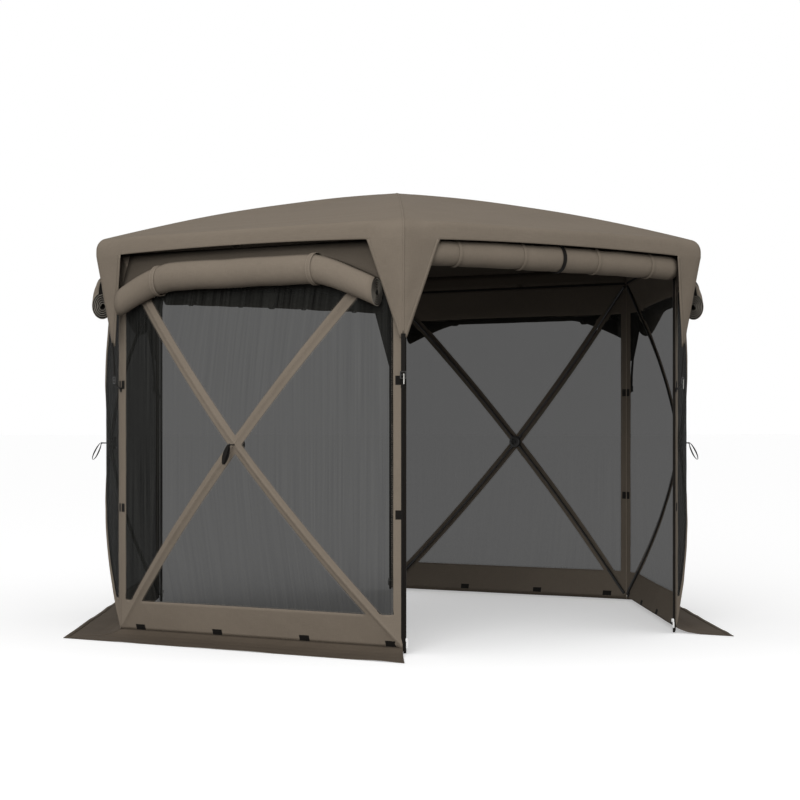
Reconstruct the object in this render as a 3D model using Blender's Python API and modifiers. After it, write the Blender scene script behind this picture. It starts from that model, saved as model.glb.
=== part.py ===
"""Six-sided pop-up screen gazebo: four mesh walls, two open doorways and a canopy.

Metres, +Z up. The origin is on the ground at the centre of the floor.
One doorway faces -Y and the other +Y, with two mesh walls on each side between them.
"""

import math

import bmesh
import bpy
from mathutils import Matrix, Vector

# Plan: a regular hexagon, whose side is as long as the way from its centre to a corner
SIDE = 1.600
HALF = SIDE / 2
APOTHEM = SIDE * math.cos(math.radians(30))
TAN_MITRE = math.tan(math.radians(30))
GAP = 0.0003

# Walls: cloth stretched over four rods that meet at a hub, pushed out in the middle
SEAM_HEIGHT = 0.030
WALL_TOP = 1.893
HUB_HEIGHT = 0.949
HUB_BULGE = 0.175
SLACK = 0.5
CLOTH = 0.0015
CORNER_CLEAR = 0.0016
BOTTOM_BAND = 0.148
TOP_BAND = 0.178
SIDE_STRIP = 0.033
SLEEVE_WIDTH = 0.055
RING_STEPS = 4
CORNER_LOW = 0.020
CORNER_LOW_FROM = 0.7

# Rods and hubs. A rod leans against the cloth's facets by at most its slant
ROD_RADIUS = 0.0055
WALL_ROD_SLANT = math.radians(24)
WALL_ROD_SHARES = (0.035, 0.25, 0.50, 0.75, 0.99)
WALL_HUB_BACK = 0.002
ROOF_ROD_SLANT = math.radians(22)
ROOF_ROD_CLEAR = 0.0012
ROOF_ROD_IN_HUB = 0.020
ROOF_ROD_SHORT = 0.012
WALL_HUB_RADIUS = 0.0375
WALL_HUB_DEPTH = 0.026
ROOF_HUB_RADIUS = 0.045
ROOF_HUB_DEPTH = 0.030

# Canopy: a low six-sided dome, rounded over at the eave into a straight valance
PEAK_HEIGHT = 2.315
RIDGE_SLOPE = 0.120
RIDGE_CURVE = 0.0509
PANEL_DIP = 0.65
CANOPY_CLOTH = 0.002
EAVE_RADIUS = 1.736
EAVE_ROUND = 0.065
EAVE_TURN = math.radians(16)
VALANCE_BOTTOM = 1.878
FLAP_HALF = 0.184
FLAP_TIP_HALF = 0.019
FLAP_TIP_HEIGHT = 1.434
FLAP_TIP_RADIUS = 1.651
FLAP_ROWS = 3
RIDGE_STATIONS = (0.30, 0.65, 1.00, 1.35, 1.60)

# Ground skirt, sewn to a wall's seam and lying on the ground
SKIRT_REACH = 0.2624
SKIRT_CLOTH = 0.002
SKIRT_CURVE = ((0.020, 0.0190), (0.060, 0.0070), (0.115, 0.0))
SKIRT_SEAM_HALF = 0.00125

# Rolled wind panels and the rolled door
ROLL_RADIUS = 0.0715
ROLL_END_RADIUS = 0.065
ROLL_HEIGHT = 1.757
ROLL_END_HEIGHT = 1.665
ROLL_HALF_LENGTH = 0.706
ROLL_TIE = 0.400
ROLL_REST = 0.0015
ROLL_STATIONS = 13
ROLL_NEARBY = (-0.06, -0.03, 0.0, 0.03, 0.06)
DOOR_ROLL_RADIUS = 0.065
DOOR_ROLL_HEIGHT = 1.822
DOOR_ROLL_OUT = 0.034
DOOR_ROLL_HALF_LENGTH = 0.738

# Doorways
JAMB_WIDTH = 0.016
HEADER_BOTTOM = 1.879
SLIDER_HEIGHT = 0.018
SLIDER_REST = 0.055
SLIDER_HALF_WIDTH = 0.006
SLIDER_WALL = 0.003
PULL_SIZE = (0.009, 0.003, 0.040)
PULL_DROP = 0.008

# Straps that hold the corner flaps, and the loops that pull the wall hubs out
STRAP_WIDTH = 0.020
STRAP_CLOTH = 0.002
STRAP_FOOT = 1.208
STRAP_TAB_TOP = 1.226
STRAP_HANG = 0.033
STRAP_IN_FLAP = 0.004
BUCKLE_LOW = 1.250
BUCKLE_HIGH = 1.282
BUCKLE_THICK = 0.006
PIN_RADIUS = 0.003
PIN_LENGTH = 0.040
LOOP_WIDTH = 0.024
LOOP_LENGTH = 0.100
LOOP_CLOTH = 0.0016
LOOP_TOP_HALF = 0.0085
LOOP_LOW_HALF = 0.0115
LOOP_LEAN = math.radians(26)
LOOP_STEPS = 24

# Turns about Z from the wall that faces -Y, and directions of the corners
WALLS = {"front_right": 60, "back_right": 120, "back_left": 240, "front_left": 300}
DOORWAYS = {
    "front": (0, ("front_left", "front_right")),
    "back": (180, ("back_right", "back_left")),
}
CORNERS = {
    "front_left": -120,
    "front_right": -60,
    "right": 0,
    "back_right": 60,
    "back_left": 120,
    "left": 180,
}


# Scene and material helpers


def clear_scene():
    """Empties the scene."""
    for obj in list(bpy.data.objects):
        bpy.data.objects.remove(obj, do_unlink=True)


def make_collection(name):
    """A collection of this name, linked to the scene."""
    collection = bpy.data.collections.new(name)
    bpy.context.scene.collection.children.link(collection)
    return collection


def make_material(name, colour, roughness, metallic=0.0, alpha=1.0):
    """A plain Principled material."""
    material = bpy.data.materials.new(name)
    material.use_nodes = True
    shader = material.node_tree.nodes["Principled BSDF"]
    shader.inputs["Base Color"].default_value = (*colour, 1.0)
    shader.inputs["Roughness"].default_value = roughness
    shader.inputs["Metallic"].default_value = metallic
    shader.inputs["Alpha"].default_value = alpha
    material.diffuse_color = (*colour, alpha)
    return material


def add_object(name, data, collection, material=None, turn=0):
    """An object with this data, turned about the centre of the floor."""
    obj = bpy.data.objects.new(name, data)
    obj.rotation_euler.z = math.radians(turn)
    collection.objects.link(obj)
    if material is not None:
        data.materials.append(material)
    return obj


def mesh_from(bm, name):
    """A mesh data-block from a bmesh, which is freed."""
    mesh = bpy.data.meshes.new(name)
    bm.to_mesh(mesh)
    bm.free()
    return mesh


def add_solidify(obj, thickness, outward):
    """Gives an open surface its thickness on one side."""
    modifier = obj.modifiers.new("thickness", "SOLIDIFY")
    modifier.thickness = thickness
    modifier.offset = 1.0 if outward else -1.0
    modifier.use_even_offset = False


def smooth_step(value):
    """0 to 1 with level ends."""
    value = min(max(value, 0.0), 1.0)
    return value * value * (3 - 2 * value)


# Shape of the cloth


def wall_bulge(u, z):
    """How far the wall cloth stands out, u along the wall from its middle and z up."""
    across = abs(u) / HALF
    if z >= HUB_HEIGHT:
        level = (z - HUB_HEIGHT) / (WALL_TOP - HUB_HEIGHT)
    else:
        level = (HUB_HEIGHT - z) / (HUB_HEIGHT - SEAM_HEIGHT)
    far = max(across, level)
    if far >= 1.0:
        return 0.0
    ratio = min(across, level) / far if far > 0 else 1.0
    inward = 1.0 - far
    rod = inward * (2.0 - inward)
    share = SLACK + (1.0 - SLACK) * ratio**2
    return HUB_BULGE * (inward + (rod - inward) * share)


def wall_point(u, z, out=0.0):
    """A point of the wall cloth that faces -Y."""
    return Vector((u, -(APOTHEM + wall_bulge(u, z) + out), z))


def ridge_height(radius):
    """Height of a roof ridge at this distance from the centre."""
    return PEAK_HEIGHT - RIDGE_SLOPE * radius - RIDGE_CURVE * radius**2


def turn_start():
    """Radius and height where the ridge starts to turn over the eave."""
    radius = EAVE_RADIUS - EAVE_ROUND + EAVE_ROUND * math.sin(EAVE_TURN)
    return radius, ridge_height(radius)


def panel_height(radius, side):
    """Height of the roof between ridges, side from -1 to 1 between two of them."""
    end, end_height = turn_start()
    chord = PEAK_HEIGHT + (end_height - PEAK_HEIGHT) * radius / end
    hump = max(ridge_height(radius) - chord, 0.0)
    return ridge_height(radius) - PANEL_DIP * (1 - side**2) * hump


def roof_profile():
    """Rows of the canopy from near its centre to the valance's lower edge."""
    rows = [(radius, None) for radius in RIDGE_STATIONS]
    start, start_height = turn_start()
    centre = EAVE_RADIUS - EAVE_ROUND
    centre_height = start_height - EAVE_ROUND * math.cos(EAVE_TURN)
    rows.append((start, start_height))
    for degrees in (50, 90):
        angle = math.radians(degrees)
        radius = centre + EAVE_ROUND * math.sin(angle)
        rows.append((radius, centre_height + EAVE_ROUND * math.cos(angle)))
    rows.append((EAVE_RADIUS, VALANCE_BOTTOM))
    return rows


def corner_direction(index):
    """Unit vector from the centre to a corner of the hexagon."""
    angle = math.radians(-120 + 60 * index)
    return Vector((math.cos(angle), math.sin(angle), 0.0))


def eave_shares():
    """Places of the canopy's columns along one side of the eave, from 0 to 1."""
    flap = FLAP_HALF / EAVE_RADIUS
    middle = [flap + (1 - 2 * flap) * step / 4 for step in range(5)]
    return [0.0, flap / 2, *middle, 1 - flap / 2]


def canopy_row(radius, height):
    """Points once round the canopy at one row."""
    points = []
    for index in range(6):
        start = corner_direction(index)
        end = corner_direction(index + 1)
        for share in eave_shares():
            place = (start * (1 - share) + end * share) * radius
            place.z = panel_height(radius, 2 * share - 1) if height is None else height
            points.append(place)
    return points


# Builders


def add_flaps(bm, eave):
    """Six flaps that run down the corners from the valance's lower edge."""
    per_side = len(eave) // 6
    for index in range(6):
        corner = corner_direction(index)
        ways = {
            -1: (corner_direction(index - 1) - corner).normalized(),
            1: (corner_direction(index + 1) - corner).normalized(),
        }
        above = [eave[(index * per_side + step) % len(eave)] for step in range(-2, 3)]
        for row in range(1, FLAP_ROWS + 1):
            share = row / FLAP_ROWS
            half = FLAP_HALF + (FLAP_TIP_HALF - FLAP_HALF) * share
            place = corner * (EAVE_RADIUS + (FLAP_TIP_RADIUS - EAVE_RADIUS) * share)
            place.z = VALANCE_BOTTOM + (FLAP_TIP_HEIGHT - VALANCE_BOTTOM) * share
            below = []
            for step in range(-2, 3):
                side = ways[1] if step > 0 else ways[-1]
                below.append(bm.verts.new(place + side * half * abs(step) / 2))
            for left in range(4):
                ring = (above[left], below[left], below[left + 1], above[left + 1])
                bm.faces.new(ring)
            above = below


def build_canopy(collection, material):
    """The roof cloth with its valance and corner flaps, one sewn piece."""
    bm = bmesh.new()
    peak = bm.verts.new((0.0, 0.0, PEAK_HEIGHT))
    rows = [
        [bm.verts.new(point) for point in canopy_row(radius, height)]
        for radius, height in roof_profile()
    ]
    count = len(rows[0])
    for column in range(count):
        after = (column + 1) % count
        bm.faces.new((peak, rows[0][column], rows[0][after]))
        for upper, lower in zip(rows, rows[1:]):
            bm.faces.new((upper[column], lower[column], lower[after], upper[after]))
    add_flaps(bm, rows[-1])
    obj = add_object("roof_canopy", mesh_from(bm, "roof_canopy"), collection, material)
    add_solidify(obj, CANOPY_CLOTH, outward=False)
    return obj


def tube_curve(name, points, radius, sides_step, radii=None):
    """A POLY curve with a round bevel and closed ends."""
    data = bpy.data.curves.new(name, "CURVE")
    data.dimensions = "3D"
    data.bevel_depth = radius
    data.bevel_resolution = sides_step
    data.use_fill_caps = True
    spline = data.splines.new("POLY")
    spline.points.add(len(points) - 1)
    for index, point in enumerate(points):
        spline.points[index].co = (*point, 1.0)
        spline.points[index].radius = 1.0 if radii is None else radii[index]
    return data


def tube_mesh(name, points, radius, sides_step):
    """The mesh of such a tube, its caps welded."""
    data = tube_curve(name, points, radius, sides_step)
    holder = bpy.data.objects.new(name, data)
    bpy.context.scene.collection.objects.link(holder)
    graph = bpy.context.evaluated_depsgraph_get()
    mesh = bpy.data.meshes.new_from_object(holder.evaluated_get(graph))
    bpy.data.objects.remove(holder, do_unlink=True)
    bm = bmesh.new()
    bm.from_mesh(mesh)
    bmesh.ops.remove_doubles(bm, verts=bm.verts, dist=1e-6)
    bpy.data.meshes.remove(mesh)
    return mesh_from(bm, name)


def cylinder_mesh(name, radius, depth, sides, matrix):
    """A closed cylinder about its own Z axis, moved by the matrix."""
    bm = bmesh.new()
    bmesh.ops.create_cone(
        bm, cap_ends=True, segments=sides, radius1=radius, radius2=radius, depth=depth
    )
    bmesh.ops.transform(bm, matrix=matrix, verts=bm.verts)
    return mesh_from(bm, name)


def join_by_union(obj, meshes, cutters):
    """Unions each mesh with the object, which turns with it."""
    for index, mesh in enumerate(meshes):
        helper = add_object(f"{obj.name}_helper_{index}", mesh, cutters)
        helper.rotation_euler = obj.rotation_euler
        helper.hide_render = True
        helper.display_type = "WIRE"
        modifier = obj.modifiers.new(f"join_{index}", "BOOLEAN")
        modifier.operation = "UNION"
        modifier.solver = "EXACT"
        modifier.object = helper


def build_roof_frame(collection, cutters, material):
    """Six rods under the ridges, held by a hub under the peak."""
    drop = CANOPY_CLOTH + (ROD_RADIUS + 2 * GAP) / math.cos(ROOF_ROD_SLANT)
    fall = (PEAK_HEIGHT - panel_height(RIDGE_STATIONS[0], 0)) / RIDGE_STATIONS[0]
    hub_top = PEAK_HEIGHT - fall * ROOF_HUB_RADIUS / math.cos(math.radians(30))
    hub_top -= CANOPY_CLOTH + 3 * GAP
    place = Matrix.Translation((0, 0, hub_top - ROOF_HUB_DEPTH / 2))
    mesh = cylinder_mesh("roof_frame", ROOF_HUB_RADIUS, ROOF_HUB_DEPTH, 18, place)
    frame = add_object("roof_frame", mesh, collection, material)
    stations = [ROOF_ROD_IN_HUB, *RIDGE_STATIONS, turn_start()[0] - ROOF_ROD_SHORT]
    rods = []
    for index in range(6):
        along = corner_direction(index)
        points = []
        for radius in stations:
            point = along * radius
            point.z = ridge_height(radius) - drop - ROOF_ROD_CLEAR
            points.append(point)
        rods.append(tube_mesh(f"roof_rod_{index}", points, ROD_RADIUS, 1))
    join_by_union(frame, rods, cutters)
    return frame


def build_wall_frame(name, turn, collection, cutters, material):
    """Four rods from a wall's corners to its hub, on the inside of the cloth."""
    inset = CLOTH + 2 * GAP + (ROD_RADIUS + 2 * GAP) / math.cos(WALL_ROD_SLANT)
    face = -(APOTHEM + HUB_BULGE - inset) + WALL_HUB_BACK
    place = Matrix.Translation((0, face + WALL_HUB_DEPTH / 2, HUB_HEIGHT))
    place = place @ Matrix.Rotation(math.radians(90), 4, "X")
    mesh = cylinder_mesh(name, WALL_HUB_RADIUS, WALL_HUB_DEPTH, 14, place)
    frame = add_object(name, mesh, collection, material, turn)
    rods = []
    for side in (-1, 1):
        for end in (SEAM_HEIGHT, WALL_TOP):
            points = []
            for share in WALL_ROD_SHARES:
                u = side * HALF * (1 - share)
                z = end + (HUB_HEIGHT - end) * share
                out = HUB_BULGE * chord_share(share) - inset
                points.append(Vector((u, -(APOTHEM + out), z)))
            rods.append(tube_mesh(f"{name}_rod", points, ROD_RADIUS, 1))
    join_by_union(frame, rods, cutters)
    return frame


def chord_share(share):
    """Bulge along a rod as the cloth's straight facets make it, from 0 to 1."""
    step = 1.0 / RING_STEPS
    low = math.floor(share / step) * step
    high = low + step
    at_low = low * (2 - low)
    at_high = high * (2 - high)
    return at_low + (at_high - at_low) * (share - low) / step


def inset_triangle(corners, insets):
    """The triangle inside this one, each side moved in by its own distance."""
    centre = sum(corners, Vector((0, 0))) / 3
    lines = []
    for index, inset in enumerate(insets):
        start = corners[index]
        way = (corners[(index + 1) % 3] - start).normalized()
        normal = Vector((-way.y, way.x))
        if normal.dot(centre - start) < 0:
            normal = -normal
        lines.append((start + normal * inset, way))
    found = []
    for index in range(3):
        (a, u), (b, v) = lines[index - 1], lines[index]
        cross = u.x * v.y - u.y * v.x
        share = ((b.x - a.x) * v.y - (b.y - a.y) * v.x) / cross
        found.append(a + u * share)
    return found


def triangle_ring(corners, steps):
    """Points once round a triangle, evenly spaced on each side."""
    ring = []
    for index in range(3):
        start = corners[index]
        end = corners[(index + 1) % 3]
        ring += [start + (end - start) * step / steps for step in range(steps)]
    return ring


def wall_sectors():
    """The four triangles between a wall's rods, each with its three bands' widths."""
    edge = HALF - CORNER_CLEAR
    hub = Vector((0.0, HUB_HEIGHT))
    low_left = Vector((-edge, SEAM_HEIGHT))
    low_right = Vector((edge, SEAM_HEIGHT))
    top_left = Vector((-edge, WALL_TOP))
    top_right = Vector((edge, WALL_TOP))
    sleeve = SLEEVE_WIDTH / 2
    return [
        ((low_left, low_right, hub), (BOTTOM_BAND, sleeve, sleeve)),
        ((low_right, top_right, hub), (SIDE_STRIP, sleeve, sleeve)),
        ((top_right, top_left, hub), (TOP_BAND, sleeve, sleeve)),
        ((top_left, low_left, hub), (SIDE_STRIP, sleeve, sleeve)),
    ]


def wall_top_edge(u):
    """Height of a wall's top edge, under the canopy and below its rods at the corners."""
    height = panel_height(SIDE, u / HALF) - CANOPY_CLOTH - 4 * GAP
    share = (abs(u) / HALF - CORNER_LOW_FROM) / (1 - CORNER_LOW_FROM)
    return height - CORNER_LOW * smooth_step(share)


def add_ring(bm, outer, inner, out):
    """A band of quads between two rings of wall points."""
    outside = [bm.verts.new(wall_point(p.x, p.y, out)) for p in outer]
    inside = [bm.verts.new(wall_point(p.x, p.y, out)) for p in inner]
    for index in range(len(outer)):
        after = (index + 1) % len(outer)
        bm.faces.new((outside[index], outside[after], inside[after], inside[index]))


def add_fan(bm, ring, out):
    """A fan of triangles from a ring to its middle."""
    centre = sum(ring, Vector((0, 0))) / len(ring)
    middle = bm.verts.new(wall_point(centre.x, centre.y, out))
    edge = [bm.verts.new(wall_point(p.x, p.y, out)) for p in ring]
    for index in range(len(ring)):
        bm.faces.new((edge[index], edge[(index + 1) % len(ring)], middle))


def add_hem(bm, z, heights, out):
    """A straight strip along the seam or the top line, one height for each column."""
    edge = HALF - CORNER_CLEAR
    line = []
    free = []
    for step in range(RING_STEPS + 1):
        u = -edge + 2 * edge * step / RING_STEPS
        line.append(bm.verts.new(wall_point(u, z, out)))
        free.append(bm.verts.new((u, -(APOTHEM + out), heights(u))))
    for step in range(RING_STEPS):
        quad = (line[step], line[step + 1], free[step + 1], free[step])
        bm.faces.new(quad)


def wall_sheet(name, windows, out, bottom):
    """The open surface of a wall, with or without its four triangular windows."""
    bm = bmesh.new()
    for corners, insets in wall_sectors():
        window = inset_triangle(list(corners), insets)
        outer = triangle_ring(list(corners), RING_STEPS)
        inner = triangle_ring(window, RING_STEPS)
        add_ring(bm, outer, inner, out)
        if not windows:
            centre = sum(window, Vector((0, 0))) / 3
            middle = [centre + (point - centre) * 0.5 for point in inner]
            add_ring(bm, inner, middle, out)
            add_fan(bm, middle, out)
    add_hem(bm, SEAM_HEIGHT, lambda u: bottom, out)
    add_hem(bm, WALL_TOP, wall_top_edge, out)
    bmesh.ops.remove_doubles(bm, verts=bm.verts, dist=1e-5)
    bmesh.ops.recalc_face_normals(bm, faces=bm.faces)
    bm.faces.ensure_lookup_table()
    total = sum((face.normal.y * face.calc_area() for face in bm.faces), 0.0)
    if total > 0:
        bmesh.ops.reverse_faces(bm, faces=bm.faces)
    return mesh_from(bm, name)


def build_wall_cloth(name, turn, collection, border_material, screen_material):
    """A wall's mesh screen and, over it, its sewn cloth bands and rod sleeves."""
    mesh = wall_sheet(f"wall_border_{name}", True, 0.0, 0.001)
    border = add_object(f"wall_border_{name}", mesh, collection, border_material, turn)
    add_solidify(border, CLOTH, outward=True)
    mesh = wall_sheet(f"wall_screen_{name}", False, -GAP, 0.0)
    screen = add_object(f"wall_screen_{name}", mesh, collection, screen_material, turn)
    add_solidify(screen, CLOTH, outward=False)


def prism_mesh(name, profile, start, end):
    """A closed outline in Y and Z, swept along X between two given X functions."""
    bm = bmesh.new()
    first = bm.faces.new([bm.verts.new((start(y), y, z)) for y, z in profile])
    swept = bmesh.ops.extrude_face_region(bm, geom=[first])
    for item in swept["geom"]:
        if isinstance(item, bmesh.types.BMVert):
            item.co.x = end(item.co.y)
    bmesh.ops.recalc_face_normals(bm, faces=bm.faces)
    return mesh_from(bm, name)


def build_skirt(name, turn, collection, material):
    """The cloth apron outside one wall, mitred where it meets the next one."""
    inner = CLOTH + 2 * GAP
    top = [(inner, SEAM_HEIGHT + SKIRT_SEAM_HALF)]
    top += [(out, height + SKIRT_CLOTH) for out, height in SKIRT_CURVE]
    under = [*reversed(SKIRT_CURVE), (inner, SEAM_HEIGHT - SKIRT_SEAM_HALF)]
    outline = [*top, (SKIRT_REACH, SKIRT_CLOTH), (SKIRT_REACH, 0.0), *under]
    profile = [(-(APOTHEM + out), z) for out, z in outline]

    def right_end(y):
        return HALF + (-y - APOTHEM) * TAN_MITRE - 2 * GAP

    mesh = prism_mesh(name, profile, lambda y: -right_end(y), right_end)
    return add_object(name, mesh, collection, material, turn)


def roll_height(u):
    """Height of a wind panel roll's middle: level between its ties, lower at its ends."""
    share = (abs(u) - ROLL_TIE) / (ROLL_HALF_LENGTH - ROLL_TIE)
    return ROLL_HEIGHT - (ROLL_HEIGHT - ROLL_END_HEIGHT) * smooth_step(share)


def roll_out(u, radius):
    """How far out a roll lies where it rests against the wall cloth near this place."""
    reach = 0.0
    for along in ROLL_NEARBY:
        middle = roll_height(u + along)
        for step in range(-8, 9):
            drop = radius * step / 8
            wall = wall_bulge(u + along, middle + drop) + CLOTH
            reach = max(reach, wall + math.sqrt(max(radius**2 - drop**2, 0.0)))
    return reach + ROLL_REST


def build_wind_roll(name, turn, collection, material):
    """One rolled-up wind panel, tied up under the eave outside its wall."""
    points = []
    radii = []
    for step in range(ROLL_STATIONS):
        u = ROLL_HALF_LENGTH * (2 * step / (ROLL_STATIONS - 1) - 1)
        share = smooth_step((abs(u) - ROLL_TIE) / (ROLL_HALF_LENGTH - ROLL_TIE))
        radius = ROLL_RADIUS + (ROLL_END_RADIUS - ROLL_RADIUS) * share
        points.append((u, -(APOTHEM + roll_out(u, radius)), roll_height(u)))
        radii.append(radius / ROLL_RADIUS)
    data = tube_curve(name, points, ROLL_RADIUS, 4, radii)
    return add_object(name, data, collection, material, turn)


def build_header(name, turn, collection, material):
    """The strip of cloth over a doorway, up to the canopy."""
    edge = HALF - CORNER_CLEAR
    outline = [(-edge, HEADER_BOTTOM), (edge, HEADER_BOTTOM)]
    for step in range(RING_STEPS + 1):
        u = edge * (1 - 2 * step / RING_STEPS)
        outline.append((u, wall_top_edge(u)))
    bm = bmesh.new()
    face = bm.faces.new([bm.verts.new((u, -APOTHEM, z)) for u, z in outline])
    extrude_along(bm, face, Vector((0, -CLOTH, 0)))
    add_object(f"door_header_{name}", mesh_from(bm, "door_header"), collection, material, turn)


def build_jamb(corner, side, turn, collection, material):
    """The strip down one side of a doorway, which carries one half of the zip."""
    centre = side * (HALF - CORNER_CLEAR - JAMB_WIDTH / 2)
    height = HEADER_BOTTOM - GAP
    place = Matrix.Translation((centre, -APOTHEM - CLOTH / 2, height / 2))
    size = Matrix.Diagonal((JAMB_WIDTH, CLOTH, height, 1))
    bm = bmesh.new()
    bmesh.ops.create_cube(bm, size=1.0, matrix=place @ size)
    add_object(f"door_jamb_{corner}", mesh_from(bm, "door_jamb"), collection, material, turn)


def build_door_roll(name, turn, collection, material):
    """The rolled-up door, tied up under the valance."""
    line = -(APOTHEM + DOOR_ROLL_OUT)
    half = DOOR_ROLL_HALF_LENGTH
    points = [(u, line, DOOR_ROLL_HEIGHT) for u in (-half, -half / 2, 0.0, half / 2, half)]
    data = tube_curve("door_roll", points, DOOR_ROLL_RADIUS, 4)
    add_object(f"door_roll_{name}", data, collection, material, turn)


def build_zip_slider(corner, side, turn, collection, cutters, material):
    """A zip slider that grips the free edge of a jamb, with its pull tab."""
    edge = side * (HALF - CORNER_CLEAR - JAMB_WIDTH)
    middle = -APOTHEM - CLOTH / 2
    slot = CLOTH / 2 + 2 * GAP
    outer = slot + SLIDER_WALL
    outline = [
        (SLIDER_HALF_WIDTH, -slot), (SLIDER_HALF_WIDTH, -outer), (-SLIDER_HALF_WIDTH, -outer),
        (-SLIDER_HALF_WIDTH, outer), (SLIDER_HALF_WIDTH, outer), (SLIDER_HALF_WIDTH, slot),
        (-2 * GAP, slot), (-2 * GAP, -slot),
    ]
    bm = bmesh.new()
    base = [bm.verts.new((edge + side * x, middle + y, SLIDER_REST)) for x, y in outline]
    extrude_along(bm, bm.faces.new(base), Vector((0, 0, SLIDER_HEIGHT)))
    mesh = mesh_from(bm, "zip_slider")
    slider = add_object(f"zip_slider_{corner}", mesh, collection, material, turn)
    place = Matrix.Translation((edge, middle - outer, SLIDER_REST - PULL_DROP))
    bm = bmesh.new()
    bmesh.ops.create_cube(bm, size=1.0, matrix=place @ Matrix.Diagonal((*PULL_SIZE, 1)))
    join_by_union(slider, [mesh_from(bm, "zip_pull")], cutters)


def extrude_along(bm, face, way):
    """Makes a closed prism of a face, extruded by this vector."""
    swept = bmesh.ops.extrude_face_region(bm, geom=[face])
    moved = [item for item in swept["geom"] if isinstance(item, bmesh.types.BMVert)]
    bmesh.ops.translate(bm, vec=way, verts=moved)
    bmesh.ops.recalc_face_normals(bm, faces=bm.faces)


def build_corner_strap(name, angle, collection, material):
    """The strap from a flap's tip to its buckle, and the tab from there to the corner."""
    foot = SIDE + CLOTH / math.cos(math.radians(30)) + 2 * GAP
    hang = SIDE + STRAP_HANG
    tip = FLAP_TIP_RADIUS - STRAP_IN_FLAP
    top = FLAP_TIP_HEIGHT - 2 * GAP
    thick = STRAP_CLOTH
    body = thick + BUCKLE_THICK
    upper = hang + (tip - hang) * (BUCKLE_HIGH - BUCKLE_LOW) / (top - BUCKLE_LOW)
    inner = [(foot, STRAP_FOOT), (foot, STRAP_TAB_TOP), (hang, BUCKLE_LOW), (tip, top)]
    outer = [
        (tip + thick, top), (upper + thick, BUCKLE_HIGH), (upper + body, BUCKLE_HIGH),
        (hang + body, BUCKLE_LOW), (foot + thick, STRAP_FOOT),
    ]
    profile = [(-radius, z) for radius, z in [*inner, *outer]]
    half = STRAP_WIDTH / 2
    mesh = prism_mesh(name, profile, lambda y: -half, lambda y: half)
    return add_object(name, mesh, collection, material, angle + 90)


def loop_outline(offset):
    """The webbing loop seen from its side, as distances outward and up from the pin's end."""
    down = Vector((math.sin(LOOP_LEAN), -math.cos(LOOP_LEAN)))
    across = Vector((math.cos(LOOP_LEAN), math.sin(LOOP_LEAN)))
    points = []
    for step in range(LOOP_STEPS):
        angle = 2 * math.pi * step / LOOP_STEPS
        share = 0.5 * (1 - math.cos(angle))
        half = LOOP_TOP_HALF + (LOOP_LOW_HALF - LOOP_TOP_HALF) * share
        along = LOOP_LENGTH * share - offset * math.cos(angle)
        points.append(down * along + across * math.sin(angle) * (half + offset))
    return points


def build_pull_loop(name, turn, collection, cutters, material):
    """The pin through the cloth at a wall's hub, and the webbing loop on its end."""
    start = -(APOTHEM + HUB_BULGE + CLOTH + 3 * GAP)
    place = Matrix.Translation((0, start - PIN_LENGTH / 2, HUB_HEIGHT))
    place = place @ Matrix.Rotation(math.radians(90), 4, "X")
    mesh = cylinder_mesh(name, PIN_RADIUS, PIN_LENGTH, 10, place)
    pin = add_object(name, mesh, collection, material, turn)
    bm = bmesh.new()
    rings = []
    for u in (-LOOP_WIDTH / 2, LOOP_WIDTH / 2):
        for offset in (LOOP_CLOTH / 2, -LOOP_CLOTH / 2):
            ring = loop_outline(offset)
            middle = start - PIN_LENGTH
            rings.append([bm.verts.new((u, middle - p.x, HUB_HEIGHT + p.y)) for p in ring])
    rings = [rings[0], rings[2], rings[3], rings[1]]
    for ring, beside in zip(rings, [*rings[1:], rings[0]]):
        for step in range(LOOP_STEPS):
            after = (step + 1) % LOOP_STEPS
            bm.faces.new((ring[step], ring[after], beside[after], beside[step]))
    bmesh.ops.recalc_face_normals(bm, faces=bm.faces)
    join_by_union(pin, [mesh_from(bm, "webbing_loop")], cutters)
    return pin


def main():
    """Builds every piece of the gazebo."""
    clear_scene()
    parts = make_collection("screen_gazebo")
    cutters = make_collection("helpers")
    cutters.hide_render = True
    cloth = make_material("taupe_polyester", (0.19, 0.16, 0.13), 0.85)
    mesh = make_material("dark_mesh", (0.03, 0.03, 0.03), 0.90)
    black = make_material("black_fibreglass", (0.015, 0.015, 0.015), 0.45)
    webbing = make_material("black_webbing", (0.02, 0.02, 0.018), 0.80)
    steel = make_material("zip_metal", (0.75, 0.75, 0.74), 0.35, 0.8)
    build_canopy(parts, cloth)
    build_roof_frame(parts, cutters, black)
    for name, turn in WALLS.items():
        build_wall_cloth(name, turn, parts, cloth, mesh)
        build_wall_frame(f"wall_frame_{name}", turn, parts, cutters, black)
        build_skirt(f"ground_skirt_{name}", turn, parts, cloth)
        build_wind_roll(f"wind_panel_roll_{name}", turn, parts, cloth)
        build_pull_loop(f"pull_loop_{name}", turn, parts, cutters, webbing)
    for name, (turn, corners) in DOORWAYS.items():
        build_header(name, turn, parts, cloth)
        build_door_roll(name, turn, parts, cloth)
        for side, corner in zip((-1, 1), corners):
            build_jamb(corner, side, turn, parts, cloth)
            build_zip_slider(corner, side, turn, parts, cutters, steel)
    for name, angle in CORNERS.items():
        build_corner_strap(f"corner_strap_{name}", angle, parts, webbing)


main()
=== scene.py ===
"""Looks for a six-sided pop-up screen gazebo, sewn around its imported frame.

Metres, +Z up, the front doorway faces -Y. Laid out as an add-on and run as a script.
Each operator makes one piece of the gazebo, or one group of like pieces.
On a wall, u runs along it from its middle, z goes up and out is the way from its flat.
"""

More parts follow.
